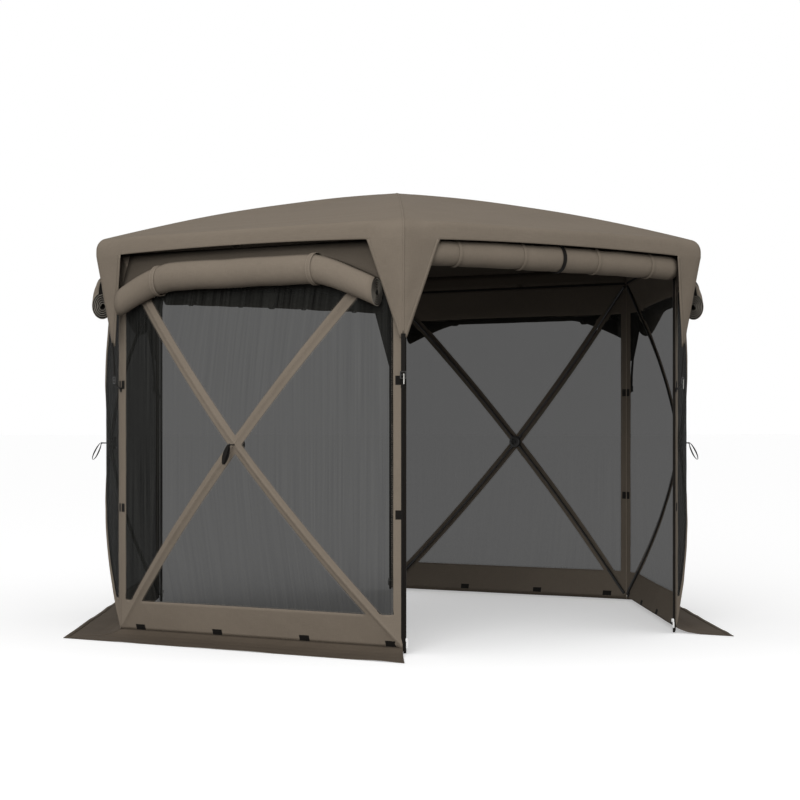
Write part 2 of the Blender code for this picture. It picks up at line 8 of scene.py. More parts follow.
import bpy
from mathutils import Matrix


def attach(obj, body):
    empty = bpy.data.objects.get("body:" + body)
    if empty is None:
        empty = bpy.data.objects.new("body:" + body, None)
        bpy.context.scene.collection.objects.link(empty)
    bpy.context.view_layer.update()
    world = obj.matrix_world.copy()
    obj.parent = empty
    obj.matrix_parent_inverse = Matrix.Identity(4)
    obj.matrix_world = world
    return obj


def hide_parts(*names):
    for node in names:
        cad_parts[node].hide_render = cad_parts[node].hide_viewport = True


bl_info = {
    "name": "Pop-up Screen Gazebo",
    "version": (1, 0, 0),
    "blender": (4, 5, 0),
    "location": "View3D > Sidebar > Gazebo",
    "description": "Sews cloth, mesh screens, rolls, zips and straps onto a hub gazebo's frame",
    "category": "Object",
}

import math
from itertools import accumulate

import bmesh
import bpy
from bpy.props import FloatProperty, FloatVectorProperty, IntProperty, PointerProperty
from bpy.types import Operator, Panel, PropertyGroup
from mathutils import Matrix, Vector, noise

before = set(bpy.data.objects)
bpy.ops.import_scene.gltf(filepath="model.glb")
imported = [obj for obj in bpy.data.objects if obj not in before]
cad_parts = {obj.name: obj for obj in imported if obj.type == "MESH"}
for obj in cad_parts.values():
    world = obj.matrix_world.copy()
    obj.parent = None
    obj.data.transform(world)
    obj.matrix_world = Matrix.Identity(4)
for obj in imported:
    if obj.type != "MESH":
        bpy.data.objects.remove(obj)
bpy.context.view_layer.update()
BODY = "gazebo"
FRONT = Vector((0, -1, 0))
UPRIGHT = math.radians(90)

# Plan: a regular hexagon, whose side is as long as the way from its centre to a corner
SIDE = 1.600
HALF = SIDE / 2
APOTHEM = SIDE * math.cos(math.radians(30))
TAN_MITRE = math.tan(math.radians(30))
CORNER_CLEAR = 0.0016

# Walls
SEAM_HEIGHT = 0.030
WALL_TOP = 1.893
HUB_HEIGHT = 0.949
HUB_BULGE = 0.175
SLACK = 0.5
BOTTOM_BAND = 0.148
TOP_BAND = 0.178
SIDE_STRIP = 0.041
SLEEVE_WIDTH = 0.055
CORNER_LOW = 0.020
CORNER_LOW_FROM = 0.7
ROD_RIDGE = 0.0042
ROD_RIDGE_WIDTH = 0.0075
PUCKER = 0.0016
TAPE_THICKNESS = 0.0012
BINDING_WIDTH = 0.0104
BAND_SHARES = (0.0, 0.10, 0.20, 0.32, 0.48, 0.72, 0.90, 1.0)
SIDE_TABS = (1.243, 0.632)
BOTTOM_TABS = (-0.674, -0.216, 0.277, 0.740)

# Rods and hubs. A wall rod's parts: where they start and end on it, steps, radius and slot
ROD_RADIUS = 0.0055
ROD_SLEEVE_RADIUS = 0.0078
ROD_INSET = 0.0088
ROD_PARTS = (
    (0.035, 0.970, 26, ROD_RADIUS, 0),
    (0.020, 0.170, 8, ROD_SLEEVE_RADIUS, 1),
    (0.955, 0.985, 3, 0.0088, 2),
)
WALL_HUB_RADIUS = 0.0345
WALL_HUB_DEPTH = 0.026
ROOF_HUB_RADIUS = 0.045
ROOF_HUB_DEPTH = 0.030
ROOF_ROD_DROP = 0.0098

# Canopy
PEAK_HEIGHT = 2.315
RIDGE_SLOPE = 0.120
RIDGE_CURVE = 0.0509
PANEL_DIP = 0.65
EAVE_RADIUS = 1.736
EAVE_ROUND = 0.065
EAVE_TURN = math.radians(16)
CREASE_FROM = 0.06
CREASE_OVER = 0.16
CORNER_ROUND = 0.004
CORNER_REACH = 0.03
ROOF_RIPPLE = 0.0022
VALANCE_BOTTOM = 1.878
VALANCE_ARCH = 0.012
FLAP_HALF = 0.154
WIDE_FLAP_HALF = 0.192
FLAP_TIP_HALF = 0.019
FLAP_TIP_HEIGHT = 1.434
FLAP_TIP_RADIUS = 1.651
FLAP_ROWS = 24
HEM_WIDTH = 0.016
HEM_RISE = 0.0009
SEAM_RISE = 0.0005
RIDGE_SEAM = (-0.007, -0.0001, 0.007)

# Ground skirt. Its curve holds distances out with their heights
SKIRT_REACH = 0.2624
SKIRT_RIPPLE = 0.010
SKIRT_HEM_RISE = 0.0012
SKIRT_CURVE = ((0.0, 0.0310), (0.020, 0.0190), (0.060, 0.0070), (0.115, 0.0004))

# Rolled wind panels and doors
ROLL_RADIUS = 0.0715
ROLL_END_RADIUS = 0.068
ROLL_HEIGHT = 1.757
ROLL_END_HEIGHT = 1.640
ROLL_HALF_LENGTH = 0.724
ROLL_LEVEL_HALF = 0.400
ROLL_CROSSING = 0.620
ROLL_OUT = 0.112
ROLL_OVER_ROD = 0.015
ROLL_END_BACK = 0.022
ROLL_FLAT = 0.22
ROLL_OUTER_TURN = 0.845
ROLL_CLEARANCE = 0.004
PINCH_REACH = 0.028
ROLL_TIES = (-0.480, 0.405)
DROP_LEAN = math.radians(112)
DOOR_ROLL_RADIUS = 0.065
DOOR_ROLL_HEIGHT = 1.825
DOOR_ROLL_RISE = 0.009
DOOR_ROLL_OUT = 0.034
DOOR_ROLL_HALF_LENGTH = 0.738
DOOR_TIES = (-0.546, -0.184, 0.251, 0.582)
DOOR_STRAP = 0.040

# Doorways, straps and loops
JAMB_WIDTH = 0.016
JAMB_OUT = 0.00075
HEADER_BOTTOM = 1.879
SLIDER_HEIGHT = 0.018
SLIDER_REST = 0.055
STRAP_FOOT = 1.208
STRAP_TAB_TOP = 1.226
STRAP_HANG = 0.033
STRAP_WIDTH = 0.020
TAB_WIDTH = 0.019
BUCKLE_LOW = 1.250
BUCKLE_HIGH = 1.282
HOOK_STEPS = (-0.025, -0.016, 0.004, 0.022)
PIN_LENGTH = 0.048
LOOP_LENGTH = 0.100
LOOP_TOP_HALF = 0.0085
LOOP_LOW_HALF = 0.0115
LOOP_LEAN = math.radians(26)

# Turns about Z from the wall that faces -Y, and directions of the corners, in degrees
WALLS = {"front_right": 60, "back_right": 120, "back_left": 240, "front_left": 300}
DOORWAYS = {
    "front": (0, ("front_left", "front_right")),
    "back": (180, ("back_right", "back_left")),
}
CORNERS = {
    "front_left": -120, "front_right": -60, "right": 0, "back_right": 60, "back_left": 120,
    "left": 180,
}


def srgb(code):
    """Linear red, green, blue and alpha from an sRGB hex value."""
    values = [int(code[place : place + 2], 16) / 255 for place in (1, 3, 5)]
    linear = [v / 12.92 if v <= 0.04045 else ((v + 0.055) / 1.055) ** 2.4 for v in values]
    return (*linear, 1.0)


# Sizes and colours that a user would change


def colour_setting(name, description, code):
    """A colour in the sidebar."""
    return FloatVectorProperty(
        name=name, description=description, subtype="COLOR", size=4, min=0, max=1, default=srgb(code)
    )


def length_setting(name, description, metres):
    """A length in the sidebar."""
    return FloatProperty(
        name=name, description=description, subtype="DISTANCE", unit="LENGTH", default=metres
    )


class GazeboCloth(PropertyGroup):
    """The sewn cloth and the mesh screens."""

    taupe: colour_setting(
        "Cloth colour", "Coated polyester of the canopy, bands, rolls and skirts", "#7A7064"
    )
    # Painted shade: the skirts are given a darker colour than the cloth, for the dim light near the
    # ground
    skirt: colour_setting("Skirt colour", "Cloth of the ground skirts, dulled by use", "#5A5147")
    thickness: length_setting("Cloth thickness", "Thickness that the cloth is drawn with", 0.0012)
    screen_cover: FloatProperty(
        name="Screen cover", description="Share of the light that one layer of mesh stops",
        subtype="FACTOR", min=0, max=1, default=0.906,
    )


class GazeboRolls(PropertyGroup):
    """The rolled wind panels and the rolled doors."""

    turns: FloatProperty(name="Turns", description="Turns of cloth in a roll", default=5.19)
    core: length_setting("Core radius", "Radius of the open middle of a roll", 0.012)
    layer: length_setting("Layer thickness", "Thickness of one wound layer with its hem", 0.0030)
    steps: IntProperty(name="Steps", description="Points in each turn of a roll", default=22)


class GazeboTrim(PropertyGroup):
    """Webbing, zips and thread."""

    webbing: colour_setting("Webbing colour", "Straps, loops and zip tapes", "#1B1917")
    stitch_pitch: length_setting("Stitch pitch", "Way from one stitch to the next along a seam", 0.010)
    zip_pitch: length_setting("Zip pitch", "Way from one zip element to the next", 0.0030)


class GazeboStage(PropertyGroup):
    """Camera, floor and light."""

    lens: FloatProperty(
        name="Focal length", description="Focal length of the camera in millimetres", default=76.9
    )
    sky: FloatProperty(
        name="Sky strength", description="Strength of the even light from all round", default=1.0
    )
    floor_glow: FloatProperty(
        name="Floor glow",
        description="Strength of the floor's own light, which softens the shadows",
        default=0.36,
    )
    softbox: FloatProperty(
        name="Softbox power", description="Power of the large light in front",
        subtype="POWER", unit="POWER", default=380.0,
    )


# Small helpers


def spaced(low, high, count):
    """Even steps from low to high, with both ends."""
    return [low + (high - low) * step / count for step in range(count + 1)]


def around(count):
    """Even steps of one whole turn, in radians."""
    return [2 * math.pi * step / count for step in range(count)]


def smooth_step(value):
    """0 to 1 with level ends."""
    value = min(max(value, 0.0), 1.0)
    return value * value * (3 - 2 * value)


def turn_matrix(degrees):
    """A turn about the gazebo's middle."""
    return Matrix.Rotation(math.radians(degrees), 4, "Z")


def outside(u, out, z):
    """A point so far outside the flat of the wall that faces -Y."""
    return Vector((u, -(APOTHEM + out), z))


def upright(x, y, heights):
    """A path straight up, whose flat side is to the front."""
    return [(Vector((x, y, z)), FRONT) for z in heights]


def link(obj):
    """Puts an object in the scene."""
    bpy.context.scene.collection.objects.link(obj)
    return obj


def finish_piece(obj, slot, *nodes, body=BODY):
    """Says what a piece rides on and hides the nodes that it stands for. Its slot is not used."""
    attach(obj, body)
    if nodes:
        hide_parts(*nodes)
    return obj


class Pattern:
    """Rows of points with their places on the flat cloth, sewn into one mesh."""

    def __init__(self):
        self.bm = bmesh.new()
        self.flat = self.bm.loops.layers.uv.new("UVMap")

    def add(self, rows, flats, slot=0, closed=False):
        """Faces between rows. They face whoever sees a row run right and the rows go up.

        The flats are the points' places on the flat cloth, or a function that finds a point's.
        """
        if callable(flats):
            flats = [[flats(point) for point in row] for row in rows]
        verts = [[self.bm.verts.new(point) for point in row] for row in rows]
        count = len(rows[0])
        for low in range(len(rows) - 1):
            for left in range(count if closed else count - 1):
                places = ((low, left), (low, left + 1), (low + 1, left + 1), (low + 1, left))
                face = self.bm.faces.new([verts[a][b % count] for a, b in places])
                face.smooth = True
                face.material_index = slot
                for loop, (a, b) in zip(face.loops, places):
                    loop[self.flat].uv = flats[a][b]

    def sew(self, name, finishes, turn=0, crease=40):
        """The finished object, welded and turned about the gazebo's middle."""
        bmesh.ops.remove_doubles(self.bm, verts=self.bm.verts, dist=1e-5)
        mesh = bpy.data.meshes.new(name)
        self.bm.to_mesh(mesh)
        self.bm.free()
        mesh.set_sharp_from_angle(angle=math.radians(crease))
        mesh.transform(turn_matrix(turn))
        for finish in finishes:
            mesh.materials.append(material(finish))
        return link(bpy.data.objects.new(name, mesh))


def thicken(obj, thickness=None, outward=True, painted_shade_inside=False):
    """Gives cloth its thickness on one side. With painted shade inside, its inner side takes the next
    material.
    """
    modifier = obj.modifiers.new("cloth thickness", "SOLIDIFY")
    modifier.thickness = thickness or bpy.context.scene.gazebo_cloth.thickness
    modifier.offset = 1.0 if outward else -1.0
    modifier.material_offset = 1 if painted_shade_inside else 0
    return obj


def add_section(pattern, path, section, slot=0, closed=False, radii=None):
    """Sweeps a round or flat section along a path and closes its ends.

    The section is a list of (side, out) distances that runs round its middle from side to out.
    The path holds points with the direction that out has there, or None to carry it along.
    """
    points = [Vector(point) for point, _ in path]
    count = len(points)
    lengths = [0.0, *accumulate((b - a).length for a, b in zip(points, points[1:]))]
    ends = zip(section, [*section[1:], section[0]])
    girth = [0.0, *accumulate(math.hypot(c - a, d - b) for (a, b), (c, d) in ends)]
    carried = None
    rows = []
    for index, (point, out) in enumerate(path):
        if closed:
            ahead = points[(index + 1) % count] - points[index - 1]
        else:
            ahead = points[min(index + 1, count - 1)] - points[max(index - 1, 0)]
        ahead.normalize()
        out = Vector(out or carried or ahead.orthogonal())
        out = (out - ahead * out.dot(ahead)).normalized()
        carried = out
        side = out.cross(ahead)
        scale = 1.0 if radii is None else radii[index]
        rows.append([points[index] + (side * a + out * b) * scale for a, b in section])
    if closed:
        rows.append(rows[0])
        lengths.append(lengths[-1] + (points[0] - points[-1]).length)
    else:
        rows = [[points[0]] * len(section), *rows, [points[-1]] * len(section)]
        lengths = [lengths[0], *lengths, lengths[-1]]
    flats = [[(g, along) for g in girth] for along in lengths]
    pattern.add(rows, flats, slot, closed=True)


def add_turned(pattern, base, axis, rings, radius, slot, sides=28):
    """A turned shape: rings of (height along the axis, share of the radius), from its base up."""
    side = axis.orthogonal().normalized()
    other = axis.cross(side)
    rings = [(rings[0][0], 0.0), *rings, (rings[-1][0], 0.0)]
    ways = [side * math.cos(turn) + other * math.sin(turn) for turn in around(sides)]
    rows = [[base + axis * height + way * radius * share for way in ways] for height, share in rings]
    flats = [[(a, height) for a in spaced(0, radius * 6.28, sides)] for height, _ in rings]
    pattern.add(rows, flats, slot, closed=True)


def round_section(radius, sides):
    """A circle for add_section."""
    return [(radius * math.cos(turn), radius * math.sin(turn)) for turn in around(sides)]


def flat_section(width, thickness):
    """A flat strip for add_section, thickest in its middle like woven webbing."""
    half = width / 2
    thick = thickness / 2
    edge = half - thick
    upper = [(half, 0.0), (edge, thick), (0.0, thick * 1.05), (-edge, thick)]
    return [*upper, *((-side, -out) for side, out in upper)]


# Geometry Nodes trees


def wire(tree, kind, inputs=None, output=0, **settings):
    """Adds a node with values or links on its inputs, and gives one of its outputs."""
    made = tree.nodes.new(kind)
    for key, value in settings.items():
        setattr(made, key, value)
    for key, value in (inputs or {}).items():
        if isinstance(value, bpy.types.NodeSocket):
            tree.links.new(value, made.inputs[key])
        else:
            made.inputs[key].default_value = value
    return made.outputs[output]


def new_tree(name, inputs):
    """A Geometry Nodes tree with a geometry input, the named ones, a material and one output."""
    tree = bpy.data.node_groups.new(name, "GeometryNodeTree")
    for label, kind in {"Geometry": "Geometry", **inputs, "Material": "Material"}.items():
        tree.interface.new_socket(label, in_out="INPUT", socket_type=f"NodeSocket{kind}")
    tree.interface.new_socket("Geometry", in_out="OUTPUT", socket_type="NodeSocketGeometry")
    return tree, tree.nodes.new("NodeGroupInput").outputs


def close_tree(tree, source, geometry):
    """Ends a tree in Realize Instances and Set Material."""
    real = wire(tree, "GeometryNodeRealizeInstances", {"Geometry": geometry})
    inputs = {"Geometry": real, "Material": source["Material"]}
    dressed = wire(tree, "GeometryNodeSetMaterial", inputs)
    tree.links.new(dressed, tree.nodes.new("NodeGroupOutput").inputs[0])
    return tree


def plain_mesh(lines, tree, values, name, radii=None):
    """The plain mesh object that a Geometry Nodes tree makes of open lines of points."""
    data = bpy.data.curves.new("lines", "CURVE")
    data.dimensions = "3D"
    data.twist_mode = "Z_UP"
    for line in lines:
        spline = data.splines.new("POLY")
        spline.points.add(len(line) - 1)
        for index, point in enumerate(line):
            spline.points[index].co = (*point, 1.0)
            spline.points[index].radius = 1.0 if radii is None else radii[index]
    source = link(bpy.data.objects.new("lines", data))
    modifier = source.modifiers.new("tree", "NODES")
    modifier.node_group = tree
    for item in tree.interface.items_tree:
        if item.name in values:
            modifier[item.identifier] = values[item.name]
    graph = bpy.context.evaluated_depsgraph_get()
    mesh = bpy.data.meshes.new_from_object(source.evaluated_get(graph))
    source.modifiers.remove(modifier)
    bpy.data.objects.remove(source, do_unlink=True)
    if not mesh.polygons:
        raise RuntimeError(f"{name}: the tree made no faces")
    mesh.name = name
    return link(bpy.data.objects.new(name, mesh))


def store(tree, geometry, label, value, kind, domain):
    """Keeps a value on the geometry under a name."""
    inputs = {"Geometry": geometry, "Name": label, "Value": value}
    return wire(tree, "GeometryNodeStoreNamedAttribute", inputs, data_type=kind, domain=domain)


def roll_tree():
    """A centre line becomes a wound roll of cloth, with its flat places in metres."""
    kinds = {"Turns": "Float", "Core": "Float", "Outer": "Float", "Steps": "Int"}
    tree, source = new_tree("wound_roll", kinds)
    inputs = {"Resolution": source["Steps"], "Rotations": source["Turns"], "Height": 0.0}
    inputs.update({"Start Radius": source["Core"], "End Radius": source["Outer"]})
    spiral = wire(tree, "GeometryNodeCurveSpiral", inputs)
    measured = []
    for label, curve in (("along", source["Geometry"]), ("around", spiral)):
        length = wire(tree, "GeometryNodeSplineParameter", output="Length")
        measured.append(store(tree, curve, label, length, "FLOAT", "POINT"))
    radius = wire(tree, "GeometryNodeInputRadius")
    inputs = {"Curve": measured[0], "Profile Curve": measured[1], "Scale": radius}
    roll = wire(tree, "GeometryNodeCurveToMesh", inputs)
    along, around = [
        wire(tree, "GeometryNodeInputNamedAttribute", {"Name": label}, data_type="FLOAT")
        for label in ("along", "around")
    ]
    flat = wire(tree, "ShaderNodeCombineXYZ", {"X": along, "Y": around})
    mapped = store(tree, roll, "UVMap", flat, "FLOAT2", "CORNER")
    smooth = wire(tree, "GeometryNodeSetShadeSmooth", {"Geometry": mapped})
    return close_tree(tree, source, smooth)


def repeat_tree(name, stitch):
    """Lines become a row of like small pieces: stitches or else zip elements."""
    tree, source = new_tree(name, {"Pitch": "Float", "Radius": "Float", "Length": "Float"})
    inputs = {"Curve": source["Geometry"], "Length": source["Pitch"]}
    points = wire(tree, "GeometryNodeCurveToPoints", inputs, "Points", mode="LENGTH")
    if stitch:
        inputs = {"Vertices": 3, "Radius": source["Radius"], "Depth": source["Length"]}
        shape = wire(tree, "GeometryNodeMeshCylinder", inputs)
    else:
        inputs = {"Radius": source["Radius"], "Subdivisions": 1}
        ball = wire(tree, "GeometryNodeMeshIcoSphere", inputs)
        size = wire(tree, "ShaderNodeCombineXYZ", {"X": 1.0, "Y": 1.6, "Z": source["Length"]})
        shape = wire(tree, "GeometryNodeTransform", {"Geometry": ball, "Scale": size})
    inputs = {"Points": points, "Instance": shape, "Rotation": points.node.outputs["Rotation"]}
    return close_tree(tree, source, wire(tree, "GeometryNodeInstanceOnPoints", inputs))


# Materials


def dress(material, **sockets):
    """Sets or links sockets of a material's own shader, and gives the material."""
    tree = material.node_tree
    shader = tree.nodes["Principled BSDF"]
    for key, value in sockets.items():
        socket = shader.inputs[key.replace("_", " ")]
        if isinstance(value, bpy.types.NodeSocket):
            tree.links.new(value, socket)
        else:
            socket.default_value = value
    return material


def new_material(name, colour, roughness, **sockets):
    """A Principled material with constants on the shader's own sockets."""
    material = bpy.data.materials.new(name)
    material.use_nodes = True
    material.diffuse_color = colour
    return dress(material, Base_Color=colour, Roughness=roughness, **sockets)


def tone(colour, factor):
    """A colour made lighter or darker."""
    return (*[min(channel * factor, 1.0) for channel in colour[:3]], 1.0)


def flat_place(tree):
    """The place on the flat cloth, from the piece's own UV map."""
    return wire(tree, "ShaderNodeUVMap", uv_map="UVMap")


def speckle(tree, place, stretch, detail, scale=1.0, **more):
    """Noise, stretched its own way along each axis if a stretch is given."""
    if stretch:
        place = wire(tree, "ShaderNodeMapping", {"Vector": place, "Scale": stretch})
    inputs = {"Vector": place, "Scale": scale, "Detail": detail, **more}
    return wire(tree, "ShaderNodeTexNoise", inputs, "Fac")


def combine(tree, operation, first, second):
    """Two values in one."""
    return wire(tree, "ShaderNodeMath", {0: first, 1: second}, operation=operation)


def blend(tree, share, low, high):
    """A colour between two, by a share."""
    return wire(tree, "ShaderNodeMix", {0: share, 6: low, 7: high}, 2, data_type="RGBA")


def part_way(tree, value, low, high):
    """Where a value lies between two others, from 0 to 1."""
    inputs = {"Value": value, "From Min": low, "From Max": high}
    return wire(tree, "ShaderNodeMapRange", inputs)


def relief(tree, height, strength, depth, below=None):
    """A bump, on top of another one where that is given."""
    inputs = {"Height": height, "Strength": strength, "Distance": depth}
    if below:
        inputs["Normal"] = below
    return wire(tree, "ShaderNodeBump", inputs)


def woven_polyester(name, colour, wear=0.0):
    """Solution-dyed polyester, plain woven and coated: matt, with slubs along both threads.

    The real threads lie 0.4 mm apart, too fine to show, so the weave is drawn at 3 mm and
    the slubs as streaks of 2 to 40 mm. Handling leaves it a little uneven in tone.
    """
    material = new_material(name, colour, 0.9, Specular_IOR_Level=0.05)
    tree = material.node_tree
    place = flat_place(tree)
    streaks = [speckle(tree, place, stretch, 2.0) for stretch in ((450, 26, 1), (26, 450, 1))]
    patches = speckle(tree, place, None, 5.0, 3.1, Roughness=0.6)
    mixed = combine(tree, "ADD", combine(tree, "ADD", *streaks), patches)
    share = part_way(tree, mixed, 1.15, 1.85)
    spread = 0.07 + wear
    tint = blend(tree, share, tone(colour, 1 - spread), tone(colour, 1 + spread))
    threads = {"Vector": place, "Scale": 105.0}
    waves = [wire(tree, "ShaderNodeTexWave", threads, "Fac", bands_direction=way) for way in "XY"]
    weave = relief(tree, combine(tree, "MULTIPLY", *waves), 0.25, 0.0006)
    creases = speckle(tree, place, None, 3.0, 7.0, Distortion=0.6)
    return dress(material, Base_Color=tint, Normal=relief(tree, creases, 0.35, 0.012, weave))


def knitted_mesh(name, cover):
    """Warp-knitted insect mesh in black polyester: a veil that stops most of the light.

    Its holes are about 1 mm, too fine to show, so one layer is an even see-through film
    with faint upright lines of thicker thread, drawn 4 to 11 mm apart.
    """
    material = new_material(name, srgb("#141413"), 0.9, Alpha=cover, Specular_IOR_Level=0.03)
    tree = material.node_tree
    place = flat_place(tree)
    lines = [speckle(tree, place, stretch, 1.5) for stretch in ((240, 2, 1), (90, 1, 1))]
    share = part_way(tree, combine(tree, "ADD", *lines), 0.75, 1.25)
    return dress(material, Base_Color=blend(tree, share, srgb("#10100F"), srgb("#2A2A28")))


def ribbed(name, colour, pitch, roughness=0.7):
    """Nylon webbing or zip tape, woven in ribs across its width."""
    material = new_material(name, colour, roughness, Specular_IOR_Level=0.08)
    tree = material.node_tree
    inputs = {"Vector": flat_place(tree), "Scale": 0.314 / pitch, "Distortion": 0.6, "Detail": 1.0}
    ribs = wire(tree, "ShaderNodeTexWave", inputs, "Fac", bands_direction="Y")
    tint = blend(tree, ribs, tone(colour, 0.75), tone(colour, 1.25))
    return dress(material, Base_Color=tint, Normal=relief(tree, ribs, 0.5, 0.0008))


def grained(name, code, roughness, grain, depth=0.0002, stretch=(1, 1, 1), **sockets):
    """A hard surface with a fine grain, stretched each way, such as a rod or a moulding."""
    colour = srgb(code)
    material = new_material(name, colour, roughness, **sockets)
    tree = material.node_tree
    place = wire(tree, "ShaderNodeTexCoord", output="Object")
    grains = speckle(tree, place, stretch, 3.0, grain)
    inputs = {"Value": grains, "To Min": roughness - 0.1, "To Max": roughness + 0.1}
    gloss = wire(tree, "ShaderNodeMapRange", inputs)
    tint = blend(tree, grains, tone(colour, 0.8), tone(colour, 1.2))
    bumps = relief(tree, grains, 0.3, depth)
    return dress(material, Base_Color=tint, Roughness=gloss, Normal=bumps)


MATERIALS = {}


def material(name):
    """One of the gazebo's finishes, made the first time that it is asked for."""
    if name not in MATERIALS:
        cloth = bpy.context.scene.gazebo_cloth
        trim = bpy.context.scene.gazebo_trim
        makers = {
            "taupe_polyester": lambda: woven_polyester(name, tuple(cloth.taupe)),
            # Painted shade: the cloth's inner side is drawn darker, for the dim light inside the
            # gazebo
            "inner_side_painted_shade": lambda: woven_polyester(name, tone(cloth.taupe, 0.58)),
            # Painted shade: the canopy's underside is drawn much darker, for the shade under the roof
            "canopy_underside_painted_shade": lambda: woven_polyester(name, tone(cloth.taupe, 0.32)),
            # Painted shade: near black for the inner turns of the rolls, standing for the shade in the
            # gaps between them
            "roll_gaps_painted_shade": lambda: woven_polyester(name, srgb("#1C1A18")),
            # Painted shade: the cloth above a roll is drawn darker, for the valance's shade over it
            "drop_painted_shade": lambda: woven_polyester(name, tone(cloth.taupe, 0.42)),
            # Painted highlight: the rims of the wound layers at the ends of the rolls are paler than
            # the cloth, as if lit
            "roll_rims_painted_highlight": lambda: woven_polyester(name, srgb("#938D83")),
            # Painted shade: the skirts' darker colour stands for the dim light near the ground
            "skirt_polyester_painted_shade": lambda: woven_polyester(name, tuple(cloth.skirt), 0.05),
            "knitted_mesh": lambda: knitted_mesh(name, cloth.screen_cover),
            "nylon_webbing": lambda: ribbed(name, tuple(trim.webbing), 0.0022),
            "zip_tape": lambda: ribbed(name, srgb("#1D1A17"), 0.0030, 0.85),
            # Pultruded fibreglass: glossy black, with faint lines along the rod
            "fibreglass_rod": lambda: grained(name, "#171615", 0.38, 90.0, stretch=(1, 1, 0.2)),
            # Glass-filled nylon: satin black with an eroded mould grain
            "moulded_nylon": lambda: grained(name, "#1C1B1A", 0.48, 600.0),
            # Rubbery sleeve on the rod's end: dull black
            "rubber_sleeve": lambda: grained(name, "#131211", 0.62, 300.0),
            # Hook-and-loop nylon: a dull black pile of tiny loops
            "hook_and_loop": lambda: grained(
                name, "#191715", 0.85, 700.0, 0.0012, Specular_IOR_Level=0.1
            ),
            # Painted highlight: a pale nickel-plated bar on a hook's front, for the light that the
            # glossy hook catches; dulled a little by handling
            "hook_bar_painted_highlight": lambda: grained(name, "#ABA9A4", 0.34, 400.0, 0.0001, Metallic=1.0),
            # Lacquered zinc of the zips: pale and satin
            "lacquered_zinc": lambda: grained(name, "#F1F0ED", 0.40, 400.0, 0.0001, Metallic=0.35),
            # Polyester thread, a shade lighter than the cloth
            "thread": lambda: grained(name, "#857A6D", 0.6, 900.0, 0.0001),
        }
        MATERIALS[name] = makers[name]()
    return MATERIALS[name]


# Shape of the cloth


def wall_bulge(u, z):
    """How far the wall cloth stands out.

    Beside the hub the cloth is pulled tight from rod to rod, above and below it is slack.
    """
    across = abs(u) / HALF
    end = WALL_TOP if z >= HUB_HEIGHT else SEAM_HEIGHT
    level = (z - HUB_HEIGHT) / (end - HUB_HEIGHT)
    far = max(across, level)
    if far >= 1.0:
        return 0.0
    ratio = min(across, level) / far if far > 0 else 1.0
    inward = 1.0 - far
    rod = inward * (2.0 - inward)
    share = 1.0 if across >= level else SLACK + (1.0 - SLACK) * ratio**2
    return min(HUB_BULGE * (inward + (rod - inward) * share), behind_roll(u, z))


def behind_roll(u, z):
    """How far out the wall may stand where a wind panel roll lies on it."""
    reach = roll_size(u) + ROLL_CLEARANCE
    drop = abs(z - roll_height(u)) / reach
    if abs(u) > ROLL_HALF_LENGTH + 0.01 or drop >= 1:
        return HUB_BULGE
    return roll_out(u) - reach * roll_depth(u) * math.sqrt(1 - drop * drop) - ROLL_CLEARANCE


def rod_distance(u, z):
    """How far a place on a wall is from the nearest line of its four rods."""
    end = WALL_TOP if z >= HUB_HEIGHT else SEAM_HEIGHT
    rise = abs(end - HUB_HEIGHT)
    return abs(abs(u) * rise - abs(z - HUB_HEIGHT) * HALF) / math.hypot(HALF, rise)


def cloth_point(place, out):
    """A point above the wall cloth, with the rod's ridge in its sleeve and soft puckers."""
    u, z = place
    ridge = ROD_RIDGE * math.exp(-((rod_distance(u, z) / ROD_RIDGE_WIDTH) ** 2))
    edge = smooth_step((HALF - abs(u)) / 0.04)
    pucker = PUCKER * edge * noise.noise(Vector((u * 9, z * 9, 1.0)))
    return outside(u, wall_bulge(u, z) + out + ridge + pucker, z)


def ridge_height(radius):
    """Height of a roof ridge at this distance from the centre."""
    return PEAK_HEIGHT - RIDGE_SLOPE * radius - RIDGE_CURVE * radius**2


# Where the ridge starts to turn over the eave, and the middle of that turn
TURN_RADIUS = EAVE_RADIUS - EAVE_ROUND + EAVE_ROUND * math.sin(EAVE_TURN)
TURN_HEIGHT = ridge_height(TURN_RADIUS)
EAVE_MIDDLE = TURN_HEIGHT - EAVE_ROUND * math.cos(EAVE_TURN)


def panel_height(radius, side):
    """Height of the roof between ridges, side from -1 to 1 between two of them."""
    chord = PEAK_HEIGHT + (TURN_HEIGHT - PEAK_HEIGHT) * radius / TURN_RADIUS
    hump = max(ridge_height(radius) - chord, 0.0)
    return ridge_height(radius) - PANEL_DIP * (1 - side**2) * hump


def wall_top_edge(u):
    """Height of a wall's top edge, under the canopy and below its rods at the corners."""
    share = (abs(u) / HALF - CORNER_LOW_FROM) / (1 - CORNER_LOW_FROM)
    return panel_height(SIDE, u / HALF) - 0.0032 - CORNER_LOW * smooth_step(share)


def roll_share(u):
    """How far along its lowered end a place on a wind panel roll lies, nought to one."""
    return max(0.0, (abs(u) - ROLL_LEVEL_HALF) / (ROLL_HALF_LENGTH - ROLL_LEVEL_HALF))


def roll_height(u):
    """Height of a wind panel roll's middle: level between its ties, lower at its ends."""
    return ROLL_HEIGHT - (ROLL_HEIGHT - ROLL_END_HEIGHT) * roll_share(u) ** 1.35


def roll_size(u):
    """Radius of a wind panel roll, which is tighter at its ends."""
    return ROLL_RADIUS + (ROLL_END_RADIUS - ROLL_RADIUS) * roll_share(u)


def roll_out(u):
    """How far out a wind panel roll's middle lies: furthest where it crosses a rod."""
    rise = smooth_step((abs(u) - ROLL_LEVEL_HALF) / (ROLL_CROSSING - ROLL_LEVEL_HALF))
    return ROLL_OUT + ROLL_OVER_ROD * rise - ROLL_END_BACK * roll_share(u) ** 2


